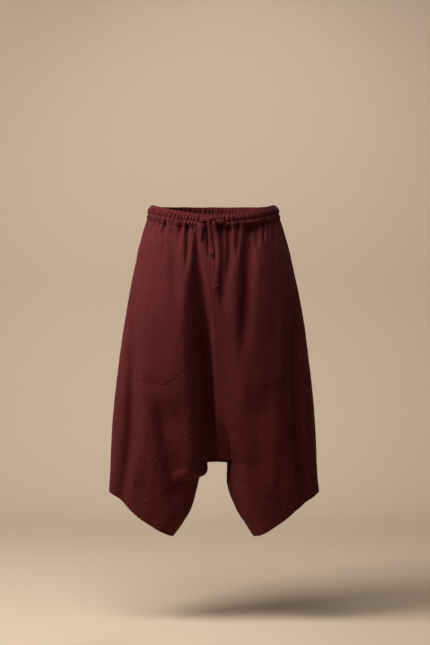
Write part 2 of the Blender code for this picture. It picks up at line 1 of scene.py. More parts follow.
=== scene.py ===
"""Looks of the cropped harem trousers: thin cloth shells on the panels' own sheet, with
gathers, folds, lapped and topstitched seams, hems, pockets, casing and drawstring.

Tables and lengths are in centimetres, the scene is in metres.
Sheet coordinates of each half (side -1 or +1): u runs round from the front middle (0)
over the outer edge (1) to the back middle (2); v runs from the waist (0) to the hem (1).
"""
import math
import bpy
import numpy as np
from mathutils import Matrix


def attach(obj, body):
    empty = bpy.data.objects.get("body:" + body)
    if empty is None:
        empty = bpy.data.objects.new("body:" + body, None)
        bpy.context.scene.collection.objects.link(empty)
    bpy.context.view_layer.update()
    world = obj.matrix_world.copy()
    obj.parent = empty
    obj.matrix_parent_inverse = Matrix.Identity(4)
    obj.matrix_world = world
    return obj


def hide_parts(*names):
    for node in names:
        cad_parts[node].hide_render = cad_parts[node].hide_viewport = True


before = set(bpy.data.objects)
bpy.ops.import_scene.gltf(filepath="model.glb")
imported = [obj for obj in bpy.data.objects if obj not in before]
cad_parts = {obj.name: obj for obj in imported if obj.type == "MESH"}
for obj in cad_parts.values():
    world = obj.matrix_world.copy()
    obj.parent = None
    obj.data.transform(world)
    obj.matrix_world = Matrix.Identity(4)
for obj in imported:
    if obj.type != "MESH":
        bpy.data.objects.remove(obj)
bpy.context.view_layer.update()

# ---------------------------------------------------------------- camera
camera = bpy.data.objects.new("camera", bpy.data.cameras.new("camera"))
bpy.context.scene.collection.objects.link(camera)
camera.location = (0.0036, -3.2, -0.2808)
camera.rotation_euler = (math.radians(90.0), 0.0, 0.0)
camera.data.lens = 74.4
camera.data.sensor_width = 36.0
bpy.context.scene.camera = camera
bpy.context.scene.view_settings.view_transform = "Standard"

# ---------------------------------------------------------------- named sizes, cm
CM = 0.01
SIDE_LENGTH = 68.6
CASING_V = 0.0525
FOLD_V = 0.26
CROTCH_V = 0.83
PART_V = 0.85
APEX_V = 0.665
INSEAM_V = 0.884
HEM_TOP_X = 21.8
HEM_LOW_X = 19.3
CLOTH = 0.07            # thickness of one ply as drawn
HEM = 2.0               # depth of the sewn hem
CORD_WIDTH = 1.04
CORD_THICK = 0.24


def columns(names, rows):
    return {n: np.array([r[i] for r in rows], float) for i, n in enumerate(names.split())}


OUTER = columns("drop left right", [
    (0.0, -14.75, 14.75), (1.2, -15.45, 15.40), (2.2, -15.60, 15.60), (3.6, -15.75, 15.80),
    (5.4, -16.40, 16.42), (8.5, -17.35, 17.35), (12.4, -18.35, 18.50), (20.0, -20.05, 20.32),
    (27.7, -21.27, 21.72), (37.3, -22.75, 22.85), (47.6, -23.93, 23.93), (58.0, -24.63, 24.60),
    (65.5, -24.95, 25.08), (68.6, -25.12, 25.35)])
INNER = columns("v z left right", [
    (0.000, 0.0, 0.0, 0.0), (0.160, -11.8, -0.50, -0.50), (0.310, -22.9, -0.45, -0.45),
    (0.500, -36.9, 0.00, 0.00), (0.665, -49.05, 0.55, 0.55), (0.800, -59.3, 0.70, 0.70),
    (0.830, -61.3, 0.70, 0.70), (0.850, -61.5, -1.60, 3.40), (0.861, -62.6, -1.60, 3.45),
    (0.872, -63.7, -2.10, 3.42), (0.882, -64.8, -3.20, 3.38), (0.891, -65.9, -3.50, 3.36),
    (0.912, -68.3, -4.00, 3.75), (0.942, -72.0, -5.00, 5.15), (0.972, -75.8, -7.10, 7.40),
    (1.000, -79.2, -9.65, 9.60)])
# Where the rows of the sheet would end if the legs parted gradually
ROWS = columns("v z left right", [
    (0.000, 0.0, 0.0, 0.0), (0.160, -11.8, -0.50, -0.50), (0.310, -22.9, -0.45, -0.45),
    (0.500, -36.9, 0.00, 0.00), (0.665, -49.05, 0.45, 0.60), (0.750, -55.4, 0.00, 1.00),
    (0.830, -61.3, -1.20, 1.90), (0.882, -65.3, -2.90, 3.00), (0.910, -68.2, -4.10, 3.80),
    (0.940, -71.7, -5.60, 5.20), (0.970, -75.5, -7.50, 7.20), (1.000, -79.2, -9.65, 9.60)])
DEPTH = columns("v front back dip rise", [
    (0.00, 10.4, 10.4, -2.9, 0.45), (0.05, 10.9, 11.0, -2.4, 0.40),
    (0.12, 11.9, 12.4, -1.7, 0.30), (0.22, 12.9, 13.8, -1.0, 0.20),
    (0.35, 13.2, 14.2, -0.5, 0.10), (0.55, 12.6, 13.2, 0.0, 0.00),
    (0.75, 11.2, 11.4, 0.0, 0.00), (0.88, 9.0, 9.2, 0.0, 0.00), (1.00, 5.8, 6.0, 0.0, 0.00)])

# How far the section of each half has closed to a leg, away from the middle
CLOSE = columns("v share", [
    (0.26, 0.00), (0.40, 0.03), (0.545, 0.09), (0.66, 0.18), (0.745, 0.28), (0.80, 0.36),
    (0.83, 0.40), (0.87, 0.47), (0.91, 0.55), (0.95, 0.63), (1.00, 0.74)])
ROUND = 4.5             # how far from the inner line the section is rounded
# The outer strip beyond the side seam hangs flat like a flange: depth of the groove
# between it and the front
FLANGE = columns("v depth", [
    (0.16, 0.0), (0.28, 0.8), (0.40, 2.0), (0.55, 2.9), (0.72, 3.0), (0.86, 2.4), (1.00, 1.2)])
# The hems swing down between their corners and tips
HEM_WAVE = columns("x drop", [
    (-25.0, 0.0), (-22.5, -0.42), (-20.6, -0.02), (-18.6, 0.45), (-16.5, 0.58), (-13.5, 0.40),
    (-11.2, 0.12), (-9.6, 0.0), (9.6, 0.0), (11.0, 0.30), (12.4, 0.50), (14.5, 0.58),
    (16.4, 0.62), (18.3, 0.35), (20.0, 0.10), (21.8, 0.0), (26.0, 0.0)])

# Folds: sheet (1 front, 2 back), three points down the fold, reach to either side,
# depth (troughs positive, ridges negative), and lengths over which it fades in and out
FOLDS = columns("sheet x1 z1 x2 z2 x3 z3 left right depth fade_in fade_out", [
    # front, long ones
    (1, 1.1, -5.0, 1.8, -14.0, 2.3, -27.0, 0.6, 0.8, 1.1, 2.5, 9.0),
    (1, 8.1, -4.6, 7.5, -18.0, 6.2, -42.0, 0.8, 1.3, 1.5, 2.0, 22.0),
    (1, -9.4, -5.0, -9.3, -15.0, -8.6, -30.0, 0.9, 1.0, 0.60, 3.0, 14.0),
    (1, -12.5, -44.0, -10.9, -57.0, -6.6, -76.0, 1.4, 3.0, 1.9, 8.0, 9.0),
    (1, 10.6, -42.0, 10.4, -54.0, 11.5, -68.0, 2.2, 2.4, 0.8, 8.0, 8.0),
    # front, short ones under the casing
    (1, -1.3, -5.2, -1.2, -9.0, -1.1, -14.5, 0.35, 0.5, 1.0, 1.6, 5.0),
    (1, 3.2, -5.0, 3.6, -11.0, 3.0, -20.0, 0.4, 0.6, 1.05, 1.8, 7.0),
    (1, 5.6, -4.6, 5.5, -9.0, 5.4, -14.0, 0.35, 0.45, 0.7, 1.3, 5.0),
    (1, 11.75, -4.2, 11.75, -7.5, 11.6, -10.0, 0.22, 0.3, 0.8, 0.9, 3.5),
    (1, 10.4, -4.4, 10.3, -8.0, 10.1, -12.0, 0.3, 0.4, 0.45, 1.2, 5.0),
    (1, 14.0, -4.0, 14.3, -9.0, 14.7, -13.0, 0.4, 0.5, 0.55, 1.2, 5.0),
    (1, 12.9, -4.0, 13.0, -6.5, 13.2, -9.0, 0.3, 0.3, 0.35, 1.0, 3.0),
    (1, -5.95, -4.8, -6.1, -10.0, -6.4, -18.0, 0.35, 0.45, 1.05, 1.2, 8.0),
    (1, -3.0, -5.0, -2.9, -7.5, -2.8, -10.0, 0.45, 0.35, -0.7, 1.2, 2.5),
    (1, -7.7, -4.8, -7.8, -8.0, -8.0, -12.0, 0.35, 0.4, 0.35, 1.2, 4.0),
    (1, -11.2, -4.5, -11.5, -9.0, -11.6, -15.0, 0.35, 0.45, 0.5, 1.3, 7.0),
    (1, -12.9, -4.3, -13.3, -8.0, -13.8, -12.0, 0.35, 0.4, 0.45, 1.2, 5.0),
    (1, -14.3, -4.3, -14.9, -9.0, -15.6, -14.0, 0.4, 0.4, 0.35, 1.2, 6.0),
    # seam of the pocket between its opening and the casing
    (1, -11.35, -3.8, -11.0, -6.5, -10.65, -9.2, 0.12, 0.12, 0.16, 0.4, 0.6),
    (1, 11.35, -3.8, 11.0, -6.5, 10.65, -9.2, 0.12, 0.12, 0.20, 0.4, 0.6),
    # back
    (2, -2.8, -4.0, -2.2, -26.0, -1.0, -56.0, 1.1, 1.3, 2.2, 12.0, 8.0),
    (2, 4.6, -4.0, 3.8, -20.0, 2.6, -46.0, 1.0, 1.3, 1.5, 6.0, 14.0),
    (2, -8.6, -3.8, -9.0, -18.0, -9.6, -36.0, 0.9, 1.1, 1.1, 4.0, 14.0),
    (2, 9.8, -3.8, 10.4, -20.0, 11.4, -40.0, 1.0, 1.3, 1.1, 4.0, 16.0),
    (2, -12.0, -42.0, -11.6, -55.0, -9.6, -72.0, 2.0, 1.8, 1.3, 8.0, 9.0),
    (2, 12.4, -40.0, 11.8, -54.0, 10.0, -72.0, 1.8, 2.2, 1.2, 8.0, 9.0),
    (2, 0.9, -3.4, 0.8, -10.0, 0.5, -20.0, 0.4, 0.6, 0.8, 1.5, 9.0),
    (2, 2.6, -3.4, 2.4, -8.0, 2.2, -13.0, 0.35, 0.4, 0.6, 1.2, 6.0),
    (2, -5.2, -3.4, -5.5, -12.0, -5.6, -24.0, 0.5, 0.6, 0.9, 1.5, 10.0),
    (2, -6.9, -3.4, -7.0, -7.0, -7.1, -11.0, 0.3, 0.4, 0.5, 1.2, 5.0),
    (2, 7.2, -3.4, 7.4, -9.0, 7.5, -16.0, 0.4, 0.5, 0.8, 1.5, 7.0),
    (2, -11.2, -3.4, -11.6, -9.0, -12.2, -16.0, 0.4, 0.5, 0.6, 1.5, 8.0),
    (2, 12.6, -3.4, 13.2, -12.0, 14.2, -24.0, 0.5, 0.6, 0.7, 1.5, 10.0),
    (2, -14.0, -3.4, -14.8, -8.0, -15.8, -14.0, 0.4, 0.4, 0.4, 1.2, 6.0)])

# The deep fold beside the middle seam of the front: where its left wall starts and
# reaches the bottom, where the bottom ends and the right wall is over, from the seam
VALLEY = columns("drop start deep full end depth", [
    (5.0, -4.9, -3.7, -3.5, -2.6, 0.0), (8.5, -5.0, -3.6, -3.5, -2.6, 1.1),
    (11.3, -5.2, -3.5, -3.4, -2.3, 1.5), (14.8, -5.8, -3.2, -3.1, -1.6, 2.0),
    (22.9, -7.4, -2.7, -2.4, 0.0, 3.6), (29.8, -8.0, -2.0, -1.6, 0.4, 4.8),
    (36.8, -8.0, -1.7, -1.1, 0.5, 5.7), (43.7, -7.8, -1.6, -0.9, 0.4, 6.0),
    (49.5, -7.5, -1.5, -0.8, 0.5, 6.0), (53.0, -7.3, -1.5, -0.7, 0.9, 5.8),
    (56.5, -7.3, -1.3, -0.6, 1.4, 5.3), (59.5, -7.3, -1.2, -0.5, 2.0, 4.4),
    (62.5, -7.3, -1.2, -0.5, 2.3, 2.6)])

# Front edge of the right leg where it hangs before the crotch: its place and how far
# the crotch lies behind it
LEG_RIDGE = columns("drop x depth", [
    (46.5, 0.1, 0.0), (47.9, 0.35, 0.35), (49.0, 0.8, 0.9), (50.7, 1.95, 1.7), (51.9, 2.75, 2.1),
    (53.0, 3.35, 2.4), (54.6, 4.05, 2.8), (56.5, 4.35, 3.0), (58.8, 4.5, 3.1), (61.8, 4.45, 3.1),
    (64.5, 4.2, 2.4), (66.5, 3.9, 1.2), (69.0, 3.7, 0.0)])

ARCH_TOP = columns("x z", [
    (3.1, -52.1), (5.2, -54.0), (7.6, -55.8), (10.4, -57.6), (12.6, -59.3),
    (14.1, -60.8), (16.5, -63.5), (18.7, -66.3)])
ARCH_LOW = columns("x z", [
    (6.2, -65.1), (7.9, -65.5), (9.7, -66.6), (11.9, -68.1), (14.9, -70.2), (17.2, -71.4)])
SIDE_SEAM = columns("v share", [
    (0.0525, 0.996), (0.18, 0.990), (0.265, 0.925), (0.46, 0.820),
    (0.61, 0.770), (0.80, 0.752), (0.93, 0.757)])
POCKET_OPEN = columns("x z", [(10.7, -8.7), (14.5, -10.9), (17.2, -12.0)])
POCKET_INNER = columns("x z", [(9.8, -11.4), (8.9, -14.2), (5.4, -21.5)])
POCKET_LOW = columns("x z", [
    (1.9, -28.9), (3.3, -32.7), (5.0, -36.3), (7.2, -39.3), (9.9, -41.6),
    (12.0, -42.4), (14.1, -42.2), (15.9, -41.6)])
POCKET_SIDE_V = (0.184, 0.590)      # where the pocket starts and ends in the side seam


# ---------------------------------------------------------------- curves and sheet
def curve(tab, key, name, at):
    xs, ys = tab[key], tab[name]
    at = np.clip(np.asarray(at, float), xs[0], xs[-1])
    h = np.diff(xs)
    d = np.diff(ys) / h
    m = np.zeros_like(ys)
    same = d[:-1] * d[1:] > 0
    m[1:-1][same] = 2 * d[:-1][same] * d[1:][same] / (d[:-1] + d[1:])[same]
    m[0], m[-1] = d[0], d[-1]
    i = np.clip(np.searchsorted(xs, at, side="right") - 1, 0, len(xs) - 2)
    t = (at - xs[i]) / h[i]
    return ((1 + 2 * t) * (1 - t) ** 2 * ys[i] + t * (1 - t) ** 2 * h[i] * m[i]
            + t * t * (3 - 2 * t) * ys[i + 1] + t * t * (t - 1) * h[i] * m[i + 1])


def step(t):
    t = np.clip(t, 0, 1)
    return t * t * (3 - 2 * t)


def lattice(ix, iy, iz, seed):
    n = (ix * 374761393 + iy * 668265263 + iz * 1274126177 + seed * 974711) & 0xFFFFFFFF
    n = ((n ^ (n >> 13)) * 1103515245 + 12345) & 0xFFFFFFFF
    n = ((n ^ (n >> 15)) * 2654435761) & 0xFFFFFFFF
    return ((n >> 8) & 0xFFFF) / 32767.5 - 1.0


def noise(x, y, z, seed):
    """Smooth value noise between -1 and 1."""
    x, y, z = np.broadcast_arrays(x, y, z)
    i = [np.floor(c).astype(np.int64) for c in (x, y, z)]
    f = [c - k for c, k in zip((x, y, z), i)]
    f = [t * t * t * (t * (t * 6 - 15) + 10) for t in f]
    total = 0.0
    for a in (0, 1):
        for b in (0, 1):
            for c in (0, 1):
                w = ((f[0] if a else 1 - f[0]) * (f[1] if b else 1 - f[1])
                     * (f[2] if c else 1 - f[2]))
                total = total + w * lattice(i[0] + a, i[1] + b, i[2] + c, seed)
    return total


def closing(u, v):
    """How far the section has closed to a leg: round at the inner line, slow elsewhere."""
    t = np.clip((v - FOLD_V) / (CROTCH_V - FOLD_V), 0, 1)
    middle = 1 - np.sqrt(np.maximum(1 - t * t, 0))
    leg = curve(CLOSE, "v", "share", v)
    return leg + (middle - leg) * (1 - step(np.minimum(np.abs(u), 2 - u) / 0.30))


INNER_LINE = np.concatenate([
    np.stack([curve(INNER, "v", e, vs), curve(INNER, "v", "z", vs)], -1)
    for e, vs in (("left", np.linspace(1.0, CROTCH_V, 90)),
                  ("right", np.linspace(CROTCH_V, 1.0, 90)[1:]))])


def from_inner(x, z):
    """Distance from the line under the crotch and down the inner edges of the legs."""
    out = np.full(x.shape, 99.0)
    here = z < INNER_LINE[:, 1].max() + ROUND + 0.5
    px, pz = x[here][:, None], z[here][:, None]
    ax, az = INNER_LINE[:-1, 0], INNER_LINE[:-1, 1]
    dx, dz = np.diff(INNER_LINE[:, 0]), np.diff(INNER_LINE[:, 1])
    near = np.empty(px.shape[0])
    for i in range(0, len(near), 8000):
        k = slice(i, i + 8000)
        s = np.clip(((px[k] - ax) * dx + (pz[k] - az) * dz) / (dx * dx + dz * dz), 0, 1)
        near[k] = np.sqrt(((px[k] - ax - s * dx) ** 2 + (pz[k] - az - s * dz) ** 2).min(axis=1))
    out[here] = near
    return out


def folds(sheet, x, z):
    total = np.zeros_like(x)
    for k in range(len(FOLDS["sheet"])):
        f = {n: c[k] for n, c in FOLDS.items()}
        if f["sheet"] != sheet:
            continue
        a = (z - f["z2"]) * (z - f["z3"]) / ((f["z1"] - f["z2"]) * (f["z1"] - f["z3"]))
        b = (z - f["z1"]) * (z - f["z3"]) / ((f["z2"] - f["z1"]) * (f["z2"] - f["z3"]))
        c = (z - f["z1"]) * (z - f["z2"]) / ((f["z3"] - f["z1"]) * (f["z3"] - f["z2"]))
        away = x - (a * f["x1"] + b * f["x2"] + c * f["x3"])
        reach = np.where(away < 0, f["left"], f["right"])
        here = step((f["z1"] - z) / f["fade_in"]) * step((z - f["z3"]) / f["fade_out"])
        total += f["depth"] * here * np.exp(-0.5 * (away / reach) ** 2)
    return total


def valley(x, z):
    """Depth of the deep fold beside the middle seam and of the recess right of it."""
    k = {n: curve(VALLEY, "drop", n, -z) for n in ("start", "deep", "full", "end", "depth")}
    away = x - np.interp(-z, -INNER["z"][:7], INNER["left"][:7])
    lip = np.clip((away - k["start"]) / (k["deep"] - k["start"]), 0, 1)
    lip = step(lip) * lip
    shelf = 0.32 * k["depth"]      # the middle stays back behind the left leg's front
    fold = lip * ((k["depth"] - shelf) * (1 - step((away - k["full"]) / (k["end"] - k["full"])))
                  + shelf * (1 - step((away - k["full"]) / 8.5)))
    ridge = curve(LEG_RIDGE, "drop", "x", -z)
    recess = (curve(LEG_RIDGE, "drop", "depth", -z) * (1 - step((x - ridge + 0.42) / 0.44))
              * step((x + 3.0) / 2.0))
    return np.maximum(fold, recess)


def wave(x, v):
    """Drop of the hem between its corner and its tip."""
    return curve(HEM_WAVE, "x", "drop", x) * step((v - 0.90) / 0.10)


def flat_place(side, u, v):
    """Place of a sheet point seen from the front, and its share of the section."""
    u = np.where((u < 0) & (v > CROTCH_V), u + 2, u)
    w = closing(u, v)
    a = np.pi * u
    f = (1 - w) * np.sin(a / 2) + w * (1 - np.cos(a)) / 2
    g = (1 - w) * np.cos(a / 2) + w * np.sin(a)
    edge = "left" if side < 0 else "right"
    xo = curve(OUTER, "drop", edge, SIDE_LENGTH * v)
    xs, zs = curve(ROWS, "v", edge, v), curve(ROWS, "v", "z", v)
    near = np.clip(1 - f, 0, 1.2) ** 4
    dip = np.where(g > 0, curve(DEPTH, "v", "dip", v), curve(DEPTH, "v", "rise", v))
    x = xs + (xo - xs) * f + (curve(INNER, "v", edge, v) - xs) * near
    z = (zs + (-SIDE_LENGTH * v - zs) * f + (curve(INNER, "v", "z", v) - zs) * near
         + dip * g * g)
    return x, z - wave(x, v), f, g


def section(side, x, z, v):
    """Share of the depth at a place: the closing section, rounded at the inner line."""
    edge = "left" if side < 0 else "right"
    xo = curve(OUTER, "drop", edge, SIDE_LENGTH * v)
    xi = curve(INNER, "v", edge, np.minimum(v, CROTCH_V))
    share = np.clip((x - xi) / (xo - xi), 0, 1)
    w = curve(CLOSE, "v", "share", v)
    s = 2 * share / ((1 - w) + np.sqrt((1 - w) ** 2 + 4 * w * share) + 1e-12)
    t = 1 - np.clip(from_inner(x, z) / ROUND, 0, 1)
    return np.sqrt(np.clip(1 - s * s, 0, 1)) * (1 - w + 2 * w * s) * np.sqrt(1 - t * t)


def sheet(side, u, v):
    u, v = np.broadcast_arrays(np.asarray(u, float), np.asarray(v, float))
    x, z, f, g = flat_place(side, u, v)
    deep = section(side, x, z + wave(x, v), v)
    calm = step(deep / 0.45)
    seam = f - curve(SIDE_SEAM, "v", "share", v) - 0.035
    flange = (curve(FLANGE, "v", "depth", v) * (0.8 if side < 0 else 1.0) * np.exp(-0.5 * (seam / np.where(
        seam < 0, 0.045, 0.058)) ** 2) * step(deep / 0.30))
    y = np.where(g > 0,
                 -deep * curve(DEPTH, "v", "front", v) + calm * (folds(1, x, z) + valley(x, z))
                 + flange,
                 deep * curve(DEPTH, "v", "back", v) - calm * folds(2, x, z) - 0.35 * flange)
    return np.stack([x, y, z], axis=-1)


def normal(side, u, v, e=0.003):
    du = sheet(side, u + e, v) - sheet(side, u - e, v)
    dv = sheet(side, u, np.minimum(v + e, 1.0)) - sheet(side, u, np.maximum(v - e, 0.0))
    n = np.cross(du, dv) * -side        # outwards on both halves
    return n / (np.linalg.norm(n, axis=-1, keepdims=True) + 1e-12)


def u_for_share(share, v):
    us = np.linspace(0, 1, 801)
    w = closing(us, np.full(801, float(v)))
    f = (1 - w) * np.sin(np.pi * us / 2) + w * (1 - np.cos(np.pi * us)) / 2
    return float(np.interp(share, f, us))


def find(side, x, z):
    """Sheet coordinates of a front place given by its half width and height."""
    us = np.linspace(0, 1, 801)
    v = min(-z / SIDE_LENGTH, 1.0)
    for _ in range(40):
        xs, zs = flat_place(side, us, np.full(801, v))[:2]
        u = float(np.interp(x, side * xs, us))
        v = min(max(v + (float(np.interp(u, us, zs)) - z) / 75.0, 0.0), 1.0)
    return u, v


# ---------------------------------------------------------------- waist gathers
def waist_ring(v, n=1600):
    """The waist line as one closed line: side, u and length of each of its points."""
    us = np.linspace(0, 2, n // 2, endpoint=False)
    sides = np.concatenate([np.ones(n // 2), -np.ones(n // 2)])
    u = np.concatenate([us, 2 - us])
    p = np.concatenate([sheet(1, us, v), sheet(-1, 2 - us, v)])
    gaps = np.linalg.norm(np.roll(p, -1, axis=0) - p, axis=1)
    return sides, u, np.concatenate([[0], np.cumsum(gaps)])


RING_SIDE, RING_U, RING_S = waist_ring(0.03)
GIRTH = RING_S[-1]
# length along the waist for a place u on either half, from the front middle
HALF_N = len(RING_U) // 2
LEN_RIGHT = columns("u s", [(a, b) for a, b in zip(RING_U[:HALF_N:8], RING_S[:HALF_N:8])]
                    + [(2.0, GIRTH / 2)])


def along_waist(side, u):
    s = np.interp(np.clip(u, 0, 2), LEN_RIGHT["u"], LEN_RIGHT["s"])
    return s if side > 0 else GIRTH - s


def gather_phase(s):
    """Counts the gathers along the waist: closer on the right half, uneven throughout."""
    base = s * 1.06 + 0.10 * (GIRTH / (2 * np.pi)) * np.sin(2 * np.pi * s / GIRTH)
    return base + 0.55 * noise(s / 2.3, 0.0, 0.0, 11) + 0.22 * noise(s / 0.9, 0.0, 3.0, 12)


def rib(phase, sharp=0.75):
    """Rounded ridges between narrow creases, mean about zero."""
    return np.abs(np.sin(np.pi * phase)) ** sharp - 0.70


def gathers(side, u, v):
    """Folds that run down from the casing, many and short, few and long."""
    s = along_waist(side, u)
    drop = np.maximum(SIDE_LENGTH * (v - CASING_V), 0.0)
    wander = 0.30 * noise(s / 6.0, drop / 9.0, 0.0, 21)
    k = gather_phase(s + wander)
    length = 1.0 + 0.55 * noise(s / 1.7, 0.0, 5.0, 22)
    small = 0.12 * rib(k, 0.7) * np.exp(-drop / (1.1 * length))
    mid = 0.28 * rib(k / 2 + 0.31, 0.8) * np.exp(-drop / (3.6 * length))
    long = 0.24 * rib(k / 4 + 0.17, 1.1) * np.exp(-drop / (9.0 * length))
    return small + mid + long


def ripples(p, v):
    """Soft unevenness of hanging cloth, stretched down the garment."""
    x, y, z = p[..., 0], p[..., 1], p[..., 2]
    low = 0.17 * noise(x / 3.4, y / 4.2, z / 17.0, 31)
    mid = 0.060 * noise(x / 1.6, y / 1.9, z / 9.0, 32)
    fine = 0.020 * noise(x / 0.7, y / 0.8, z / 3.0, 33)
    cross = 0.030 * noise((x + z) / 2.6, y / 2.6, (z - x) / 5.0, 34)
    return low + mid + fine + cross


# ---------------------------------------------------------------- seam lines
def dense(points, n=400):
    p = np.array(points, float)
    size = np.array([20.0, 70.0])
    s = np.concatenate([[0], np.cumsum(np.linalg.norm(np.diff(p, axis=0) * size, axis=1))])
    tab = {"s": s / s[-1], "u": p[:, 0], "v": p[:, 1]}
    t = np.linspace(0, 1, n + 1)
    return np.stack([curve(tab, "s", "u", t), curve(tab, "s", "v", t)], axis=-1)


def cut(line, at):
    """Points of a dense line at the shares `at` of its length."""
    size = np.array([20.0, 70.0])
    s = np.concatenate([[0], np.cumsum(np.linalg.norm(np.diff(line, axis=0) * size, axis=1))])
    s /= s[-1]
    return np.stack([np.interp(at, s, line[:, 0]), np.interp(at, s, line[:, 1])], axis=-1)


def chain(*lines):
    return np.concatenate([lines[0]] + [q[1:] for q in lines[1:]])


def flip_u(line, about):
    out = line.copy()
    out[:, 0] = about - out[:, 0]
    return out


def seam_lines(side):
    pts = [find(side, x, z) for x, z in zip(ARCH_TOP["x"], ARCH_TOP["z"])]
    corner = pts[-1]

    def hem_u(x):
        us = np.linspace(0, 1, 801)
        xs = flat_place(side, us, np.ones(801))[0]
        return float(np.interp(x, side * xs, us))

    top_hem, low_hem = (hem_u(HEM_TOP_X), 1.0), (hem_u(HEM_LOW_X), 1.0)
    bend = ((corner[0] + top_hem[0]) / 2, (corner[1] + 1) / 2 + 0.003)
    line = {"arch_in": dense([(0.0, APEX_V)] + pts),
            "arch_out": dense([corner, bend, top_hem], 100),
            "low": dense([(0.0, INSEAM_V)] + [find(side, x, z) for x, z in
                                              zip(ARCH_LOW["x"], ARCH_LOW["z"])] + [low_hem])}
    levels = np.linspace(CASING_V, corner[1], 9)
    line["side"] = dense([(u_for_share(float(curve(SIDE_SEAM, "v", "share", s)), s), s)
                          for s in levels[:-1]] + [corner])
    start = line["side"][0]
    line["waist_front"] = dense([(0.0, CASING_V), tuple(start)])
    line["waist_back"] = dense([tuple(start), (2.0, CASING_V)])
    line["middle"] = dense([(0.0, CASING_V), (0.0, APEX_V)])
    line["middle_low"] = chain(dense([(0.0, APEX_V), (0.0, CROTCH_V)], 100),
                               dense([(0.0, CROTCH_V), (0.0, PART_V)], 40),
                               dense([(0.0, PART_V), (0.0, INSEAM_V)], 40))
    line["hem_short"] = dense([top_hem, low_hem], 50)
    line["hem_corner"] = dense([top_hem, (1.0, 1.0), (2 - top_hem[0], 1.0)], 100)
    tip_start = (low_hem[0] - 0.06, 1.0)
    line["leg_edge"] = dense([low_hem, tip_start], 30)
    line["hem_leg"] = dense([tip_start, (0.0, 1.0)], 200)
    return line


def places(length, cell, near=(True, True)):
    """Shares of an edge at which the cloth is sampled, closer near its ends."""
    fine = np.array([0, .05, .11, .18, .27, .38, .5, .62, .72, .80, .88, 1.0, 1.2])
    first = fine if near[0] else np.array([0.0])
    last = length - fine[::-1] if near[1] else np.array([length])
    n = max(int(round((last[0] - first[-1]) / cell)), 1)
    mid = np.linspace(first[-1], last[0], n + 1)[1:-1]
    return np.concatenate([first, mid, last]) / length


def patch(top, bottom, left, right, s, t):
    """Grid of sheet points between four edges, at column shares s and row shares t."""
    top, bottom, left, right = cut(top, s), cut(bottom, s), cut(left, t), cut(right, t)
    s, t = s[None, :, None], t[:, None, None]
    return ((1 - t) * top[None] + t * bottom[None] + (1 - s) * left[:, None]
            + s * right[:, None] - (1 - s) * (1 - t) * top[0] - s * (1 - t) * top[-1]
            - (1 - s) * t * bottom[0] - s * t * bottom[-1])


def widen(grid, edge, reach):
    """Adds two lines of points beyond an edge, reach cm past it (array along the edge)."""
    g = {"top": grid, "bottom": grid[::-1], "left": grid.transpose(1, 0, 2),
         "right": grid.transpose(1, 0, 2)[::-1]}[edge]
    size = np.array([20.0, 70.0])
    d = g[0] - g[1]
    d /= np.linalg.norm(d * size, axis=-1, keepdims=True)
    reach = np.broadcast_to(reach, (g.shape[1],))[:, None]
    g = np.concatenate([(g[0] + d * reach)[None], (g[0] + d * reach * 0.5)[None], g])
    return {"top": lambda a: a, "bottom": lambda a: a[::-1],
            "left": lambda a: a.transpose(1, 0, 2),
            "right": lambda a: a[::-1].transpose(1, 0, 2)}[edge](g)


# ---------------------------------------------------------------- meshes
def to_line(points, line, guess, within=3.4):
    """Distance of grid points from a line of points, where the guess is near it."""
    gaps = np.linalg.norm(np.diff(line, axis=0), axis=1)
    s = np.concatenate([[0], np.cumsum(gaps)])
    at = np.linspace(0, s[-1], int(s[-1] / 0.09) + 2)
    fine = np.stack([np.interp(at, s, line[:, k]) for k in range(3)], -1).astype(np.float32)
    out = guess.copy()
    here = np.abs(guess) < within
    near = points[here].astype(np.float32)
    size = np.sum(fine ** 2, axis=1)
    best = np.empty(len(near))
    for i in range(0, len(near), 4000):
        part = near[i:i + 4000]
        square = np.sum(part ** 2, axis=1)[:, None] + size[None] - 2 * part @ fine.T
        k = np.argmin(square, axis=1)
        best[i:i + 4000] = np.linalg.norm(part - fine[k], axis=1)
    blend = step((np.abs(guess[here]) - within + 0.8) / 0.8)
    out[here] = np.sign(guess[here] + 1e-9) * (best * (1 - blend)
                                               + np.abs(guess[here]) * blend)
    return out


def grid_distances(p, extra):
    """Distance in cm of every grid point from the four edges, negative beyond them."""
    rows = np.linalg.norm(np.diff(p, axis=0), axis=-1)
    cols = np.linalg.norm(np.diff(p, axis=1), axis=-1)
    down = np.concatenate([np.zeros((1, p.shape[1])), np.cumsum(rows, axis=0)])
    over = np.concatenate([np.zeros((p.shape[0], 1)), np.cumsum(cols, axis=1)], axis=1)
    t0, b0, l0, r0 = (2 if extra.get(k) else 0 for k in ("top", "bottom", "left", "right"))
    m, n = p.shape[0] - 1, p.shape[1] - 1
    d = {"top": down - down[t0], "bottom": down[m - b0] - down,
         "left": over - over[:, l0:l0 + 1], "right": over[:, n - r0:n - r0 + 1] - over}
    lines = {"top": p[t0], "bottom": p[m - b0], "left": p[:, l0], "right": p[:, n - r0]}
    return {k: to_line(p, lines[k], d[k]) for k in d}


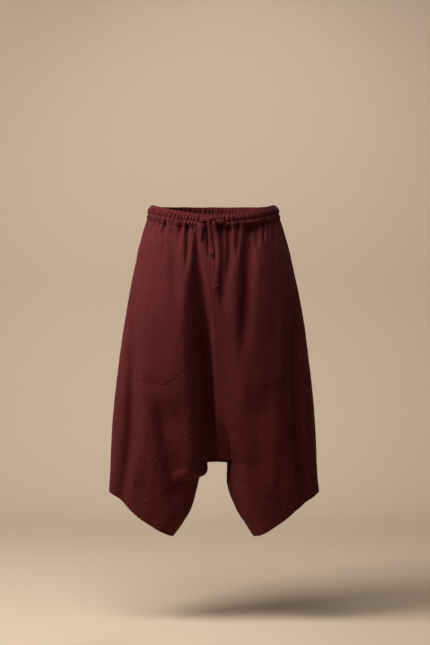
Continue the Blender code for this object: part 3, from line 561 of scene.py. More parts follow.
def shell(name, outer, inner, slot, coords, closed=False):
    """Closed wall between two grids of points in cm."""
    m, n = outer.shape[0], outer.shape[1]
    count = m * n
    verts = np.concatenate([outer.reshape(-1, 3), inner.reshape(-1, 3)]) * CM
    idx = np.arange(count).reshape(m, n)
    if closed:
        idx = np.concatenate([idx, idx[:, :1]], axis=1)
    a, b, c, d = idx[:-1, :-1], idx[:-1, 1:], idx[1:, 1:], idx[1:, :-1]
    outer_f = np.stack([a, b, c, d], -1).reshape(-1, 4)
    inner_f = np.stack([a, d, c, b], -1).reshape(-1, 4) + count
    strips = []
    for line, forward in ((idx[0], True), (idx[-1], False)) + (
            () if closed else ((idx[:, 0], False), (idx[:, -1], True))):
        p, q = line[:-1], line[1:]
        strip = np.stack([q, p, p + count, q + count], -1)
        strips.append(strip if forward else strip[:, ::-1])
    faces = np.concatenate([outer_f, inner_f] + strips)
    # face outwards
    i, j = (m - 1) // 2, (n - 1) // 2
    side_a = np.cross(outer[i, j + 1] - outer[i, j], outer[i + 1, j + 1] - outer[i, j])
    if np.dot(side_a, outer[i, j] - inner[i, j]) < 0:
        faces = faces[:, ::-1]
    mesh = bpy.data.meshes.new(name)
    mesh.vertices.add(len(verts))
    mesh.vertices.foreach_set("co", verts.ravel())
    mesh.loops.add(faces.size)
    mesh.loops.foreach_set("vertex_index", faces.ravel().astype(np.int32))
    mesh.polygons.add(len(faces))
    mesh.polygons.foreach_set("loop_start", np.arange(0, faces.size, 4, dtype=np.int32))
    mesh.polygons.foreach_set("loop_total", np.full(len(faces), 4, dtype=np.int32))
    mesh.update()
    mesh.validate()
    uv = mesh.uv_layers.new(name="cloth")
    c = np.concatenate([coords.reshape(-1, 2)] * 2)
    loops = np.empty(len(mesh.loops), dtype=np.int32)
    mesh.loops.foreach_get("vertex_index", loops)
    uv.data.foreach_set("uv", c[loops].ravel().astype(np.float32))
    mesh.polygons.foreach_set("use_smooth", np.ones(len(mesh.polygons), dtype=bool))
    mesh.update()
    obj = bpy.data.objects.new(name, mesh)
    bpy.context.scene.collection.objects.link(obj)
    mesh.materials.append(MATERIALS[slot])
    return obj


STITCHES = []       # lines of topstitching: points, normals (cm)


def stitch_line(p, n, d, edge, at, part=(0.0, 1.0)):
    """Topstitching parallel to an edge of a grid, `at` cm from it."""
    if edge in ("left", "right"):
        p, n, dist = p.transpose(1, 0, 2), n.transpose(1, 0, 2), d[edge].T
    else:
        dist = d[edge]
    if edge in ("bottom", "right"):
        p, n, dist = p[::-1], n[::-1], dist[::-1]
    pts, nrm = [], []
    for j in range(p.shape[1]):
        col = dist[:, j]
        k = int(np.searchsorted(col, at))
        if k <= 0 or k >= len(col):
            continue
        w = (at - col[k - 1]) / max(col[k] - col[k - 1], 1e-9)
        pts.append(p[k - 1, j] * (1 - w) + p[k, j] * w)
        nrm.append(n[k - 1, j] * (1 - w) + n[k, j] * w)
    a, b = int(part[0] * len(pts)), int(part[1] * len(pts))
    if b - a > 2:
        STITCHES.append((np.array(pts[a:b]), np.array(nrm[a:b])))


def along_edge(kind, count):
    """Shares of under, over and hem at each point along an edge."""
    at = np.linspace(0, 1, count)
    parts = [(1.0, kind)] if isinstance(kind, str) else kind
    out = {"under": np.zeros(count), "over": np.zeros(count), "hem": np.zeros(count)}
    begin = -1.0
    for until, name in parts:
        share = step((at - begin) / 0.012 + 0.5) * (1 - step((at - until) / 0.012 + 0.5)
                                                    if until < 1.0 else 1.0)
        if name in out:
            out[name] = out[name] + share
        begin = until
    return out


def cloth(name, side, grid, kinds, nodes, lift=0.0, shape=None, ply=CLOTH):
    """One cut piece: its shell on the sheet, its edges lapped, turned or hemmed."""
    extra = {}
    for edge, kind in kinds.items():
        count = grid.shape[0] if edge in ("left", "right") else grid.shape[1]
        w = along_edge(kind, count)
        if w["under"].max() > 0:
            grid = widen(grid, edge, 0.02 + 0.42 * w["under"])
            extra[edge] = True
    u, v = grid[..., 0], grid[..., 1]
    base = sheet(side, u, v)
    n = normal(side, u, v)
    d = grid_distances(base, extra)
    level = np.full(u.shape, lift) + gathers(side, u, v) + ripples(base, v)
    thick = np.full(u.shape, ply / 2)
    pucker = noise(base[..., 0] / 0.55, base[..., 1] / 0.55, base[..., 2] / 0.55, 41)
    for edge, kind in kinds.items():
        dist = d[edge]
        side_edge = edge in ("left", "right")
        w = along_edge(kind, dist.shape[0] if side_edge else dist.shape[1])
        w = {k: (a[:, None] if side_edge else a[None, :]) for k, a in w.items()}
        level = level + 0.030 * pucker * np.exp(-(dist / 1.1) ** 2)
        level = level - w["under"] * 0.052 * (1 - step((dist - 0.02) / 0.34))
        level = level + w["over"] * (0.026 * (1 - step((dist - 0.76) / 0.18))
                                     - 0.022 * (1 - step(dist / 0.10)))
        level = level - w["over"] * 0.008 * (np.exp(-((dist - 0.16) / 0.06) ** 2)
                                             + np.exp(-((dist - 0.70) / 0.06) ** 2))
        level = level + w["hem"] * (0.030 * (1 - step((dist - HEM + 0.05) / 0.14))
                                    - 0.028 * np.exp(-((dist - HEM + 0.12) / 0.07) ** 2)
                                    - 0.05 * (1 - step(dist / 0.14)))
        thick = thick + w["hem"] * 0.10 * (1 - step((dist - HEM + 0.02) / 0.10)) * step(
            dist / 0.16 + 0.15)
    if shape is not None:
        level = level + shape(d, base)
    p = base + n * level[..., None]
    n2 = grid_normals(p, n)
    outer, inner = p + n2 * ply / 2, p - n2 * thick[..., None]
    coords = np.stack([d["left"], d["top"]], -1)
    obj = shell(name, outer, inner, "cloth", coords)
    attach(obj, "root")
    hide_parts(*nodes)
    return obj, outer, n2, d


def grid_normals(p, guide):
    du = np.gradient(p, axis=1)
    dv = np.gradient(p, axis=0)
    n = np.cross(du, dv)
    size = np.linalg.norm(n, axis=-1, keepdims=True)
    n = np.where(size > 1e-9, n / (size + 1e-12), guide)
    flip = np.sign(np.sum(n * guide, axis=-1, keepdims=True))
    flip[flip == 0] = 1
    return n * flip


# ---------------------------------------------------------------- materials
def node_material(name, colour, grain, sheen):
    """Matt crepe: base colour with slub and mottle, thread grain and crepe in the bump."""
    mat = bpy.data.materials.new(name)
    mat.use_nodes = True
    tree = mat.node_tree
    nodes, links = tree.nodes, tree.links
    shader = nodes["Principled BSDF"]
    shader.inputs["Roughness"].default_value = 0.82
    shader.inputs["Sheen Weight"].default_value = sheen
    shader.inputs["Sheen Roughness"].default_value = 0.45
    shader.inputs["Sheen Tint"].default_value = (1.0, 0.62, 0.58, 1.0)
    shader.inputs["Specular IOR Level"].default_value = 0.05
    where = nodes.new("ShaderNodeTexCoord")

    def scaled(socket, scale):
        m = nodes.new("ShaderNodeMapping")
        m.inputs["Scale"].default_value = scale
        links.new(where.outputs[socket], m.inputs["Vector"])
        return m.outputs["Vector"]

    def speckle(vector, scale, detail=2.0, rough=0.5):
        t = nodes.new("ShaderNodeTexNoise")
        t.inputs["Scale"].default_value = scale
        t.inputs["Detail"].default_value = detail
        t.inputs["Roughness"].default_value = rough
        links.new(vector, t.inputs["Vector"])
        return t.outputs["Fac"]

    def math_node(kind, a, b):
        m = nodes.new("ShaderNodeMath")
        m.operation = kind
        for k, x in enumerate((a, b)):
            if isinstance(x, (int, float)):
                m.inputs[k].default_value = x
            else:
                links.new(x, m.inputs[k])
        return m.outputs[0]

    slub = speckle(scaled("UV", (4.2, 0.40, 1.0)), 1.0, 4.0, 0.62)      # long thin threads
    cross = speckle(scaled("UV", (0.5, 4.6, 1.0)), 1.0, 4.0, 0.62)
    mottle = speckle(scaled("Object", (14.0, 14.0, 9.0)), 1.0, 2.0)
    crepe = speckle(scaled("Object", (grain, grain, grain * 0.7)), 1.0, 3.0, 0.6)
    twill = nodes.new("ShaderNodeTexWave")
    twill.wave_type = "BANDS"
    twill.bands_direction = "DIAGONAL"
    twill.inputs["Scale"].default_value = 3.0
    twill.inputs["Distortion"].default_value = 1.2
    twill.inputs["Detail"].default_value = 1.0
    links.new(scaled("UV", (2.4, 2.4, 1.0)), twill.inputs["Vector"])

    shade = math_node("ADD", math_node("MULTIPLY", slub, 0.42), math_node("MULTIPLY", cross, 0.34))
    shade = math_node("ADD", shade, math_node("MULTIPLY", mottle, 0.22))
    shade = math_node("ADD", shade, math_node("MULTIPLY", crepe, 0.30))
    ramp = nodes.new("ShaderNodeValToRGB")
    ramp.color_ramp.elements[0].position = 0.44
    ramp.color_ramp.elements[1].position = 0.84
    ramp.color_ramp.elements[0].color = (*[c * 0.56 for c in colour], 1.0)
    ramp.color_ramp.elements[1].color = (*[c * 1.44 for c in colour], 1.0)
    links.new(shade, ramp.inputs["Fac"])
    links.new(ramp.outputs["Color"], shader.inputs["Base Color"])

    height = math_node("ADD", math_node("MULTIPLY", crepe, 0.6),
                       math_node("MULTIPLY", twill.outputs["Fac"], 0.22))
    height = math_node("ADD", height, math_node("MULTIPLY", slub, 0.55))
    height = math_node("ADD", height, math_node("MULTIPLY", cross, 0.40))
    bump = nodes.new("ShaderNodeBump")
    bump.inputs["Strength"].default_value = 0.35
    bump.inputs["Distance"].default_value = 0.0006
    links.new(height, bump.inputs["Height"])
    links.new(bump.outputs["Normal"], shader.inputs["Normal"])
    mat.diffuse_color = (*colour, 1.0)
    return mat


MATERIALS = {
    "cloth": node_material("crepe_cloth", (0.067, 0.0102, 0.0114), 420.0, 0.03),
    "cord": node_material("crepe_cord", (0.071, 0.0108, 0.0122), 520.0, 0.03),
    "thread": node_material("stitch_thread", (0.140, 0.0260, 0.0280), 900.0, 0.03),
}

# ---------------------------------------------------------------- cut pieces
SHEET_OBJECTS = {}


def make_half(side):
    tag = "left" if side < 0 else "right"
    line = seam_lines(side)
    arch = chain(line["arch_in"], line["arch_out"])
    middle_kind = "under" if side < 0 else "over"
    size = np.array([20.0, 70.0])

    def length(q):
        return float(np.sum(np.linalg.norm(np.diff(q, axis=0) * size, axis=1)))

    # front
    s, t = places(22.0, 0.175), places(52.0, 0.37)
    grid = patch(line["waist_front"], line["arch_in"], line["middle"], line["side"], s, t)
    obj, p, n, d = cloth("cloth_front_" + tag, side, grid,
                         {"top": "under", "bottom": "under", "left": middle_kind,
                          "right": "over"}, ["front_" + tag],
                         shape=lambda d, base: 0.17 * np.exp(-((d["right"] - 0.30) / 0.24) ** 2))
    SHEET_OBJECTS["front_" + tag] = obj
    for at in (0.16, 0.70):
        stitch_line(p, n, d, "right", at)

    # back, over the outer edge to the side seam on the front
    s, t = places(36.0, 0.29), places(62.0, 0.43)
    bottom = chain(line["hem_corner"], flip_u(arch, 2.0)[::-1])
    left = chain(line["side"], line["arch_out"])
    hem_share = length(line["hem_corner"]) / length(bottom)
    grid = patch(line["waist_back"], bottom, left, flip_u(line["middle"], 2.0), s, t)
    obj, p, n, d = cloth("cloth_back_" + tag, side, grid,
                         {"top": "under", "left": "under", "right": middle_kind,
                          "bottom": [(hem_share, "hem"), (1.0, "under")]}, ["back_" + tag])
    SHEET_OBJECTS["back_" + tag] = obj
    stitch_line(p, n, d, "bottom", HEM - 0.12, (0.0, hem_share))

    # crotch band, front and back
    s, t = places(32.0, 0.24), places(9.0, 0.22)
    band = patch(arch, line["low"], line["middle_low"], line["hem_short"], s, t)
    line_v = line["middle_low"][:, 1]
    part = float(np.interp(CROTCH_V, line_v, np.linspace(0, 1, len(line_v))))
    above = "under" if side < 0 else "over"
    for face, about in (("front", None), ("back", 2.0)):
        g = band.copy()
        if about:
            g[..., 0] = about - g[..., 0]
        seam = [(part, above), (1.0, "over" if face == "front" else "under")]
        sag = None
        if face == "front" and side < 0:
            def sag(dist, base):
                # the cloth droops over the lower seam towards the inner edge
                inside = step((base[..., 0] + 12.0) / 4.0)
                return inside * (0.60 * np.exp(-((dist["bottom"] - 1.3) / 1.5) ** 2)
                                 - 0.16 * np.exp(-(dist["bottom"] / 0.35) ** 2))
        obj, p, n, d = cloth("cloth_band_%s_%s" % (face, tag), side, g,
                             {"top": "over", "bottom": "over", "left": seam,
                              "right": "hem"}, ["band_%s_%s" % (face, tag)], shape=sag)
        SHEET_OBJECTS["band_%s_%s" % (face, tag)] = obj
        for at in (0.16, 0.70):
            stitch_line(p, n, d, "top", at)
            stitch_line(p, n, d, "bottom", at)
        stitch_line(p, n, d, "right", HEM - 0.12)

    # pointed lower piece, front hem round the inner fold to the back hem
    s, t = places(44.0, 0.30), places(11.0, 0.28)
    top = chain(line["low"][::-1], flip_u(line["low"], 0.0))
    hem = chain(line["hem_leg"], flip_u(line["hem_leg"], 0.0)[::-1])
    leg = patch(top, hem, line["leg_edge"], flip_u(line["leg_edge"], 0.0), s, t)
    obj, p, n, d = cloth("cloth_leg_" + tag, side, leg,
                         {"top": "under", "bottom": "hem", "left": "hem",
                          "right": "hem"}, ["leg_" + tag])
    SHEET_OBJECTS["leg_" + tag] = obj
    stitch_line(p, n, d, "bottom", HEM - 0.12)

    # patch pocket on the front
    on_side = line["side"]
    v0, v1 = POCKET_SIDE_V
    part = on_side[(on_side[:, 1] >= v0) & (on_side[:, 1] <= v1)].copy()
    part[:, 0] -= 0.004
    opening = dense([find(side, x, z) for x, z in zip(POCKET_OPEN["x"], POCKET_OPEN["z"])]
                    + [tuple(part[0])], 100)
    low = dense([find(side, x, z) for x, z in zip(POCKET_LOW["x"], POCKET_LOW["z"])]
                + [tuple(part[-1])], 100)
    inner = dense([tuple(opening[0])] + [find(side, x, z) for x, z in
                                         zip(POCKET_INNER["x"], POCKET_INNER["z"])]
                  + [tuple(low[0])], 100)
    s, t = places(14.0, 0.19), places(28.0, 0.32)
    grid = patch(opening, low, inner, part, s, t)

    def puff(dist, base):
        along = dist["left"] / (dist["left"] + dist["right"] + 1e-6)
        rim = np.minimum(np.minimum(dist["left"], dist["bottom"]), dist["right"])
        mouth = np.exp(-(dist["top"] / 1.8) ** 2) * np.sin(np.pi * np.clip(along, 0, 1)) ** 0.7
        sewn = np.minimum(dist["left"], dist["bottom"])
        return (0.15 * mouth + 0.04 * step(rim / 1.8)
                - 0.03 * (1 - step(rim / 0.12))
                - 0.012 * np.exp(-((sewn - 0.16) / 0.06) ** 2)
                + 0.020 * (1 - step((dist["right"] - 0.70) / 0.14))
                + 0.075 * np.exp(-((dist["top"] - 0.16) / 0.13) ** 2)
                + 0.020 * (1 - step((dist["top"] - 1.35) / 0.12))
                - 0.030 * np.exp(-((dist["top"] - 1.25) / 0.08) ** 2)
                - 0.05 * (1 - step(dist["top"] / 0.10)))

    obj, p, n, d = cloth("cloth_pocket_" + tag, side, grid, {}, ["pocket_" + tag],
                         lift=0.5 * CLOTH + 0.045, shape=puff, ply=0.06)
    SHEET_OBJECTS["pocket_" + tag] = obj
    for edge in ("left", "bottom"):
        stitch_line(p, n, d, edge, 0.16)
    stitch_line(p, n, d, "top", 1.25)


make_half(-1)
make_half(1)


# ---------------------------------------------------------------- waistband
# One way round the casing's section: drop below the top edge, stand-off from the sheet,
# share of the gathers, and which gathers (0 upper channel, 1 lower channel, 2 inside)
SECTION = columns("drop off ribs kind", [
    (3.62, -0.05, 0.3, 1), (3.64, 0.03, 0.5, 1), (3.56, 0.09, 0.8, 1), (3.42, 0.10, 0.6, 1),
    (3.32, 0.08, 0.4, 1), (3.22, 0.11, 0.7, 1), (3.05, 0.16, 1.0, 1), (2.85, 0.19, 1.1, 1),
    (2.62, 0.20, 1.2, 1), (2.42, 0.17, 1.1, 1), (2.26, 0.11, 0.9, 1), (2.15, 0.05, 0.6, 1),
    (2.07, 0.05, 0.5, 0), (1.98, 0.09, 0.7, 0), (1.82, 0.16, 1.0, 0), (1.58, 0.22, 1.15, 0),
    (1.30, 0.26, 1.25, 0), (1.02, 0.27, 1.25, 0), (0.76, 0.25, 1.15, 0), (0.56, 0.20, 1.0, 0),
    (0.44, 0.14, 0.8, 0), (0.36, 0.10, 0.6, 0), (0.28, 0.12, 0.5, 0), (0.18, 0.15, 0.45, 0),
    (0.08, 0.14, 0.45, 0), (0.00, 0.07, 0.4, 0), (-0.02, 0.00, 0.4, 2), (0.03, -0.06, 0.4, 2),
    (0.14, -0.10, 0.5, 2), (0.40, -0.14, 0.8, 2), (0.80, -0.18, 1.1, 2), (1.30, -0.20, 1.2, 2),
    (1.80, -0.17, 1.0, 2), (2.08, -0.11, 0.5, 2), (2.35, -0.17, 0.9, 2), (2.80, -0.20, 1.1, 2),
    (3.20, -0.18, 0.9, 2), (3.50, -0.12, 0.5, 2)])
EYES = columns("s drop", [(-3.1, 1.25), (2.6, 1.75)])      # slots the drawstring leaves by


def make_waistband():
    around = 1120
    s = np.linspace(0, GIRTH, around, endpoint=False)
    u = np.interp(s, RING_S[:-1], np.concatenate([RING_U[:HALF_N], 4 - RING_U[HALF_N:]]))
    side = np.where(u > 2, -1, 1)
    u = np.where(u > 2, 4 - u, u)
    phase = gather_phase(s)
    # the gathers lean outwards on their way down
    lean = 0.30 * np.sin(2 * np.pi * s / GIRTH) + 0.10 * noise(s / 3.0, 0.0, 7.0, 54)
    # make the last gather meet the first one
    blend = step((s - (GIRTH - 3.0)) / 3.0)
    size = 1.0 + 0.35 * noise(s / 1.3, 0.0, 2.0, 52)
    below = np.where(side > 0, gathers(1, u, CASING_V), gathers(-1, u, CASING_V))
    rows_p, rows_n = [], []
    rows = len(SECTION["drop"])
    for k in range(rows):
        v = np.maximum(SECTION["drop"][k], 0.0) / SIDE_LENGTH
        p = np.where((side > 0)[:, None], sheet(1, u, v), sheet(-1, u, v))
        n = np.where((side > 0)[:, None], normal(1, u, v), normal(-1, u, v))
        n[:, 2] *= 0.3
        n /= np.linalg.norm(n, axis=1, keepdims=True)
        kind = int(SECTION["kind"][k])
        at = s - lean * (SECTION["drop"][k] - 1.0) + (0.45 if kind == 2 else 0.0)
        count = gather_phase(at)
        if kind == 1:
            count = count + 0.25 * noise(at / 1.4, 0.0, 9.0, 51)
        ribs = (rib(count, 0.55) + 0.34 * rib(1.7 * count + 0.4 * noise(at / 1.1, 0.0, 4.0, 55),
                                              0.7)) * size
        inward = -1.0 if SECTION["kind"][k] == 2 else 1.0
        out = SECTION["off"][k] + inward * 0.25 * SECTION["ribs"][k] * ribs * (1 - 0.6 * blend)
        out = out + below * step((SECTION["drop"][k] - 2.0) / 1.4)
        top = step((0.5 - SECTION["drop"][k]) / 0.5)
        rise = 0.045 * top * rib(phase, 0.8) + 0.05 * top * noise(s / 2.5, 0.0, 1.0, 53)
        low = step((SECTION["drop"][k] - 3.0) / 0.5)
        rise = rise - 0.03 * low * ribs
        p = p + n * out[:, None]
        p[:, 2] += rise - np.minimum(SECTION["drop"][k], 0.0)
        # the slots: the cloth sinks round each eye
        for j in range(len(EYES["s"])):
            ds = (s - EYES["s"][j] + GIRTH / 2) % GIRTH - GIRTH / 2
            dz = SECTION["drop"][k] - EYES["drop"][j]
            hole = np.exp(-(ds / 0.28) ** 2 - (dz / 0.52) ** 2)
            if SECTION["kind"][k] != 2:
                p -= n * (0.30 * hole)[:, None]
        rows_p.append(p)
        rows_n.append(n)
    p = np.array(rows_p)
    # closed section: the grid's last row joins its first
    ring = np.concatenate([p, p[:1]])
    count = rows * around
    idx = np.arange(count).reshape(rows, around)
    idx = np.concatenate([idx, idx[:1]])
    idx = np.concatenate([idx, idx[:, :1]], axis=1)
    a, b, c, d = idx[:-1, :-1], idx[:-1, 1:], idx[1:, 1:], idx[1:, :-1]
    faces = np.stack([a, b, c, d], -1).reshape(-1, 4)
    mesh = bpy.data.meshes.new("cloth_waistband")
    mesh.from_pydata([], [], [])
    mesh.vertices.add(count)
    mesh.vertices.foreach_set("co", (p.reshape(-1, 3) * CM).ravel())
    mesh.loops.add(faces.size)
    mesh.loops.foreach_set("vertex_index", faces.ravel().astype(np.int32))
    mesh.polygons.add(len(faces))
    mesh.polygons.foreach_set("loop_start", np.arange(0, faces.size, 4, dtype=np.int32))
    mesh.polygons.foreach_set("loop_total", np.full(len(faces), 4, dtype=np.int32))
    mesh.update()
    mesh.validate()
    step_s = np.linalg.norm(np.diff(ring, axis=0), axis=-1).mean(axis=1)
    down = np.concatenate([[0], np.cumsum(step_s)])
    across = np.arange(around + 1) * GIRTH / around
    cu = np.broadcast_to(across[None, :], (rows + 1, around + 1))
    cv = np.broadcast_to(down[:, None], (rows + 1, around + 1))
    quads = np.stack([np.stack([cu[:-1, :-1], cv[:-1, :-1]], -1),
                      np.stack([cu[:-1, 1:], cv[:-1, 1:]], -1),
                      np.stack([cu[1:, 1:], cv[1:, 1:]], -1),
                      np.stack([cu[1:, :-1], cv[1:, :-1]], -1)], axis=2)
    uv = mesh.uv_layers.new(name="cloth")
    uv.data.foreach_set("uv", quads.reshape(-1, 2).ravel().astype(np.float32))
    mesh.polygons.foreach_set("use_smooth", np.ones(len(mesh.polygons), dtype=bool))
    # the section runs up the outside, so faces point out when this is positive
    k, j = 15, 0
    face_n = np.cross(p[k, j + 1] - p[k, j], p[k + 1, j + 1] - p[k, j])
    if np.dot(face_n, rows_n[k][j]) < 0:
        mesh.flip_normals()
    mesh.update()
    obj = bpy.data.objects.new("cloth_waistband", mesh)
    bpy.context.scene.collection.objects.link(obj)
    mesh.materials.append(MATERIALS["cloth"])
    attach(obj, "root")
    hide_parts("waistband")
    for row in (4, 12):
        STITCHES.append((p[row][np.r_[0:around, 0]], rows_n[row][np.r_[0:around, 0]]))
    STITCHES.append((p[32][np.r_[0:around, 0]], -rows_n[32][np.r_[0:around, 0]]))
    return obj


SHEET_OBJECTS["waistband"] = make_waistband()


# ---------------------------------------------------------------- drawstring
# Routes over the front: half width, height and stand-off from the cloth.  Each string
# leaves its slot, crosses the other in a half knot and hangs on the far side.
KNOT = (-0.45, -4.5)
STRING_LEFT = columns("x z off", [
    (-3.15, -4.25, 0.12), (-2.80, -4.25, 0.44), (-2.20, -4.22, 0.56), (-1.50, -4.30, 0.54),
    (-1.00, -4.42, 0.52), (-0.50, -4.55, 0.58), (-0.10, -4.62, 0.78), (0.14, -4.88, 0.92),
    (0.14, -5.35, 0.88), (0.24, -6.00, 0.74), (0.40, -6.90, 0.60), (0.62, -8.00, 0.50),
    (0.89, -10.40, 0.46), (0.97, -13.30, 0.44), (0.88, -16.80, 0.42), (0.62, -20.10, 0.40)])
STRING_RIGHT = columns("x z off", [
    (2.65, -4.78, 0.12), (2.30, -4.76, 0.44), (1.70, -4.72, 0.56), (1.10, -4.68, 0.54),
    (0.60, -4.62, 0.52), (0.25, -4.42, 0.60), (-0.10, -4.16, 0.82), (-0.50, -4.06, 0.98),
    (-0.88, -4.28, 0.99), (-1.02, -4.80, 0.86), (-0.95, -5.50, 0.72), (-0.86, -6.40, 0.60),
    (-0.75, -7.80, 0.50), (-0.56, -10.40, 0.46), (-0.45, -12.60, 0.44)])


def front_y(x, z):
    side = 1 if x > 0 else -1
    u, v = find(side, abs(x), z)
    return float(sheet(side, np.array(u), np.array(v))[1])


def lay_on(route):
    out = []
    for x, z, off in zip(route["x"], route["z"], route["off"]):
        y = min(front_y(x + dx, z) for dx in (-0.5, 0.0, 0.5))
        out.append((x, y - off, z))
    return np.array(out)


def smooth_route(route, n, rounds=6):
    s = np.concatenate([[0], np.cumsum(np.linalg.norm(np.diff(route, axis=0), axis=1))])
    tab = {"s": s, "x": route[:, 0], "y": route[:, 1], "z": route[:, 2]}
    t = np.linspace(0, s[-1], n + 1)
    p = np.stack([curve(tab, "s", k, t) for k in "xyz"], -1)
    for _ in range(rounds):
        p[1:-1] = (p[:-2] + 2 * p[1:-1] + p[2:]) / 4
    return p


def ribbon(name, route, width, thick, twist, slot="cord"):
    """Flat sewn tube along a route: rounded flat section, turned a little on its way."""
    around = 16
    t = np.gradient(route, axis=0)
    t /= np.linalg.norm(t, axis=1, keepdims=True)
    wide = np.cross(t, np.array([0.0, -1.0, 0.0]))
    wide /= np.linalg.norm(wide, axis=1, keepdims=True)
    thin = np.cross(wide, t)
    a = np.linspace(0, 2 * np.pi, around, endpoint=False)
    n = len(route)
    s = np.concatenate([[0], np.cumsum(np.linalg.norm(np.diff(route, axis=0), axis=1))])
    verts = []
    for i in range(n):
        w, h = width[i], thick[i]
        cx = np.sign(np.cos(a)) * np.abs(np.cos(a)) ** 0.75 * w / 2
        cy = np.sin(a) * h / 2 * (1 - 0.18 * np.cos(2 * a))
        cy = cy + 0.02 * noise(cx * 3.0, s[i] / 0.6, 0.0, 61)
        r = twist[i]
        x, y = cx * math.cos(r) - cy * math.sin(r), cx * math.sin(r) + cy * math.cos(r)
        verts.append(route[i] + np.outer(x, wide[i]) + np.outer(y, thin[i]))
    verts = np.array(verts)
    idx = np.arange(n * around).reshape(n, around)
    idx2 = np.concatenate([idx, idx[:, :1]], axis=1)
    quads = np.stack([idx2[:-1, :-1], idx2[:-1, 1:], idx2[1:, 1:], idx2[1:, :-1]], -1)
    faces = [tuple(int(k) for k in q) for q in quads.reshape(-1, 4)]
    faces += [tuple(int(k) for k in idx[0][::-1]), tuple(int(k) for k in idx[-1])]
    mesh = bpy.data.meshes.new(name)
    mesh.from_pydata([tuple(q) for q in verts.reshape(-1, 3) * CM], [], faces)
    mesh.validate()
    vol = 0.0
    for tri in mesh.polygons:
        c = mesh.vertices[tri.vertices[0]].co
        for k in range(1, len(tri.vertices) - 1):
            vol += c.dot(mesh.vertices[tri.vertices[k]].co.cross(
                mesh.vertices[tri.vertices[k + 1]].co))
    if vol < 0:
        mesh.flip_normals()
    uv = mesh.uv_layers.new(name="cloth")
    for poly in mesh.polygons:
        for li, vi in zip(poly.loop_indices, poly.vertices):
            i, k = divmod(vi, around)
            uv.data[li].uv = (k * 0.12, s[i])
    mesh.polygons.foreach_set("use_smooth", np.ones(len(mesh.polygons), dtype=bool))
    mesh.update()
    obj = bpy.data.objects.new(name, mesh)
    bpy.context.scene.collection.objects.link(obj)
    mesh.materials.append(MATERIALS[slot])
    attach(obj, "root")
    return obj


def make_cord(tag, table, nodes):
    route = smooth_route(lay_on(table), 170, 24)
    knot = np.array([KNOT[0], front_y(*KNOT) - 0.75, KNOT[1]])
    s = np.concatenate([[0], np.cumsum(np.linalg.norm(np.diff(route, axis=0), axis=1))])
    total = s[-1]
    width = CORD_WIDTH * (1 + 0.05 * noise(s / 1.6, 0.0, 0.0, 71 if tag == "left" else 72))
    near_knot = np.exp(-(np.linalg.norm(route - knot, axis=1) / 0.85) ** 2)
    width = width * (1 - 0.30 * near_knot)
    thick = CORD_THICK * (1 + 0.45 * near_knot)
    turn = 0.22 * np.sin(2 * np.pi * s / total * 1.3 + (0.4 if tag == "left" else 2.0))
    turn = turn * step((s - 4.0) / 4.0)
    obj = ribbon("drawstring_" + tag, route, width, thick, turn)
    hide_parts(*nodes)
    # small overhand knot close to the end
    end, before = route[-1], route[-8]
    down = (end - before) / np.linalg.norm(end - before)
    centre = end - down * 0.55
    k = np.linspace(0, 2 * np.pi, 61)
    x = np.sin(k) + 2 * np.sin(2 * k)
    z = np.cos(k) - 2 * np.cos(2 * k)
    y = -np.sin(3 * k)
    loop = np.stack([x * 0.130, y * 0.16 - 0.02, z * 0.125], -1) + centre
    tip = ribbon("end_knot_" + tag, loop, np.full(61, 0.36), np.full(61, 0.26),
                 np.zeros(61))
    return obj, total


left_cord, left_len = make_cord("left", STRING_LEFT, ("cord_run_left", "tail_right", "knot"))
right_cord, right_len = make_cord("right", STRING_RIGHT, ("cord_run_right", "tail_left"))


# ---------------------------------------------------------------- topstitching
def make_stitches():
    pitch, long, wide, high = 0.34, 0.25, 0.045, 0.035
    ring = 6
    verts, faces = [], []
    for pts, nrm in STITCHES:
        s = np.concatenate([[0], np.cumsum(np.linalg.norm(np.diff(pts, axis=0), axis=1))])
        count = int(s[-1] / pitch)
        for c in range(count):
            at = (c + 0.5) * pitch
            ends = []
            for q in (at - long / 2, at, at + long / 2):
                ends.append((np.array([np.interp(q, s, pts[:, k]) for k in range(3)]),
                             np.array([np.interp(q, s, nrm[:, k]) for k in range(3)])))
            t = ends[2][0] - ends[0][0]
            size = np.linalg.norm(t)
            if size < 1e-6:
                continue
            t /= size
            start = len(verts)
            for (p, n), grow, sink in zip(ends, (0.45, 1.0, 0.45), (0.012, -0.004, 0.012)):
                n = n / np.linalg.norm(n)
                w = np.cross(n, t)
                for r in range(ring):
                    a = 2 * math.pi * r / ring
                    verts.append(p - n * sink + w * math.cos(a) * wide / 2 * grow
                                 + n * math.sin(a) * high / 2 * grow)
            for lvl in range(2):
                for r in range(ring):
                    a, b = start + lvl * ring + r, start + lvl * ring + (r + 1) % ring
                    faces.append((a, b, b + ring, a + ring))
            faces.append(tuple(start + r for r in range(ring))[::-1])
            faces.append(tuple(start + 2 * ring + r for r in range(ring)))
    mesh = bpy.data.meshes.new("topstitching")
    mesh.from_pydata([tuple(p * CM) for p in verts], [], faces)
    mesh.validate()
    mesh.polygons.foreach_set("use_smooth", np.ones(len(mesh.polygons), dtype=bool))
    obj = bpy.data.objects.new("topstitching", mesh)
    bpy.context.scene.collection.objects.link(obj)
    mesh.materials.append(MATERIALS["thread"])
    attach(obj, "root")
    return obj


make_stitches()

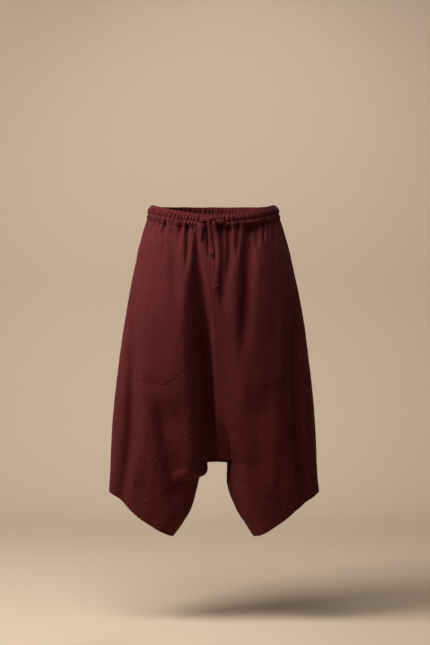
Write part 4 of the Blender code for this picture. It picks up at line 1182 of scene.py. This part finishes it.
# ---------------------------------------------------------------- sheets as cut
# flat width and length in cm, and the cut area in cm2
CUTS = {
    "front": (34.0, 68.0, None), "back": (50.0, 72.0, None), "band_front": (36.0, 20.0, None),
    "band_back": (36.0, 20.0, None), "leg": (46.0, 22.0, None), "pocket": (20.0, 36.0, None)}
for node, obj in SHEET_OBJECTS.items():
    key = "waistband" if node == "waistband" else node.rsplit("_", 1)[0]
    if key == "waistband":
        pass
    else:
        w, l, a = CUTS[key]
print("girth", round(GIRTH, 1), "cords", round(left_len, 2), round(right_len, 2))


# ---------------------------------------------------------------- stage and light
def make_stage():
    floor_z, back_y, radius = -1.0, 2.5, 0.9
    pts = [(-4.0, floor_z)]
    for k in range(25):
        a = math.pi / 2 * k / 24
        pts.append((back_y - radius + radius * math.sin(a), floor_z + radius - radius * math.cos(a)))
    pts.append((back_y, 4.0))
    verts, faces = [], []
    for y, z in pts:
        verts += [(-6.0, y, z), (6.0, y, z)]
    for k in range(len(pts) - 1):
        faces.append((2 * k, 2 * k + 1, 2 * k + 3, 2 * k + 2))
    mesh = bpy.data.meshes.new("backdrop")
    mesh.from_pydata(verts, [], faces)
    mesh.polygons.foreach_set("use_smooth", [True] * len(mesh.polygons))
    obj = bpy.data.objects.new("backdrop", mesh)
    bpy.context.scene.collection.objects.link(obj)
    mat = bpy.data.materials.new("paper")
    mat.use_nodes = True
    shader = mat.node_tree.nodes["Principled BSDF"]
    shader.inputs["Base Color"].default_value = (0.50, 0.408, 0.312, 1.0)
    shader.inputs["Roughness"].default_value = 0.95
    shader.inputs["Specular IOR Level"].default_value = 0.1
    mesh.materials.append(mat)


def area_light(name, place, target, size, power, colour):
    data = bpy.data.lights.new(name, "AREA")
    data.shape = "RECTANGLE"
    data.size, data.size_y = size
    data.energy = power
    data.color = colour
    obj = bpy.data.objects.new(name, data)
    bpy.context.scene.collection.objects.link(obj)
    obj.location = place
    d = np.array(target, float) - np.array(place, float)
    d /= np.linalg.norm(d)
    yaw = math.atan2(d[0], -d[1])
    tilt = math.acos(-d[2])
    obj.rotation_euler = (tilt, 0.0, yaw + math.pi)
    return obj


def spot_light(name, place, target, cone, power, colour):
    data = bpy.data.lights.new(name, "SPOT")
    data.spot_size = math.radians(cone)
    data.spot_blend = 1.0
    data.shadow_soft_size = 0.25
    data.energy = power
    data.color = colour
    obj = bpy.data.objects.new(name, data)
    bpy.context.scene.collection.objects.link(obj)
    obj.location = place
    d = np.array(target, float) - np.array(place, float)
    d /= np.linalg.norm(d)
    yaw = math.atan2(d[0], -d[1])
    obj.rotation_euler = (math.acos(-d[2]), 0.0, yaw + math.pi)
    return obj


make_stage()
area_light("key", (-1.2, -0.74, 1.25), (0.0, 0.0, -0.10), (0.8, 0.8), 63.0, (1.0, 0.955, 0.90))
area_light("high", (-0.15, -0.95, 1.7), (0.0, 0.0, -0.05), (1.1, 0.8), 28.0, (1.0, 0.965, 0.93))
area_light("side", (-2.6, -0.9, 1.2), (0.0, 0.0, -0.3), (1.4, 1.4), 24.0, (1.0, 0.96, 0.92))
area_light("paper_left", (-2.1, 0.9, 1.25), (-0.67, 2.5, 0.25), (0.9, 0.9), 14.5, (1.0, 0.96, 0.93))
area_light("paper_right", (2.1, 0.9, 1.25), (0.78, 2.5, 0.15), (0.9, 0.9), 11.0, (1.0, 0.96, 0.93))
spot_light("pool", (0.25, 0.3, 2.5), (0.12, 2.5, -0.13), 53.0, 134.0, (1.0, 0.97, 0.96))
spot_light("behind", (0.9, 2.1, 1.4), (0.0, 0.0, -0.40), 26.0, 62.0, (1.0, 0.96, 0.93))
world = bpy.data.worlds.new("studio")
bpy.context.scene.world = world
world.use_nodes = True
world.node_tree.nodes["Background"].inputs["Color"].default_value = (1.0, 0.93, 0.85, 1.0)
world.node_tree.nodes["Background"].inputs["Strength"].default_value = 0.020
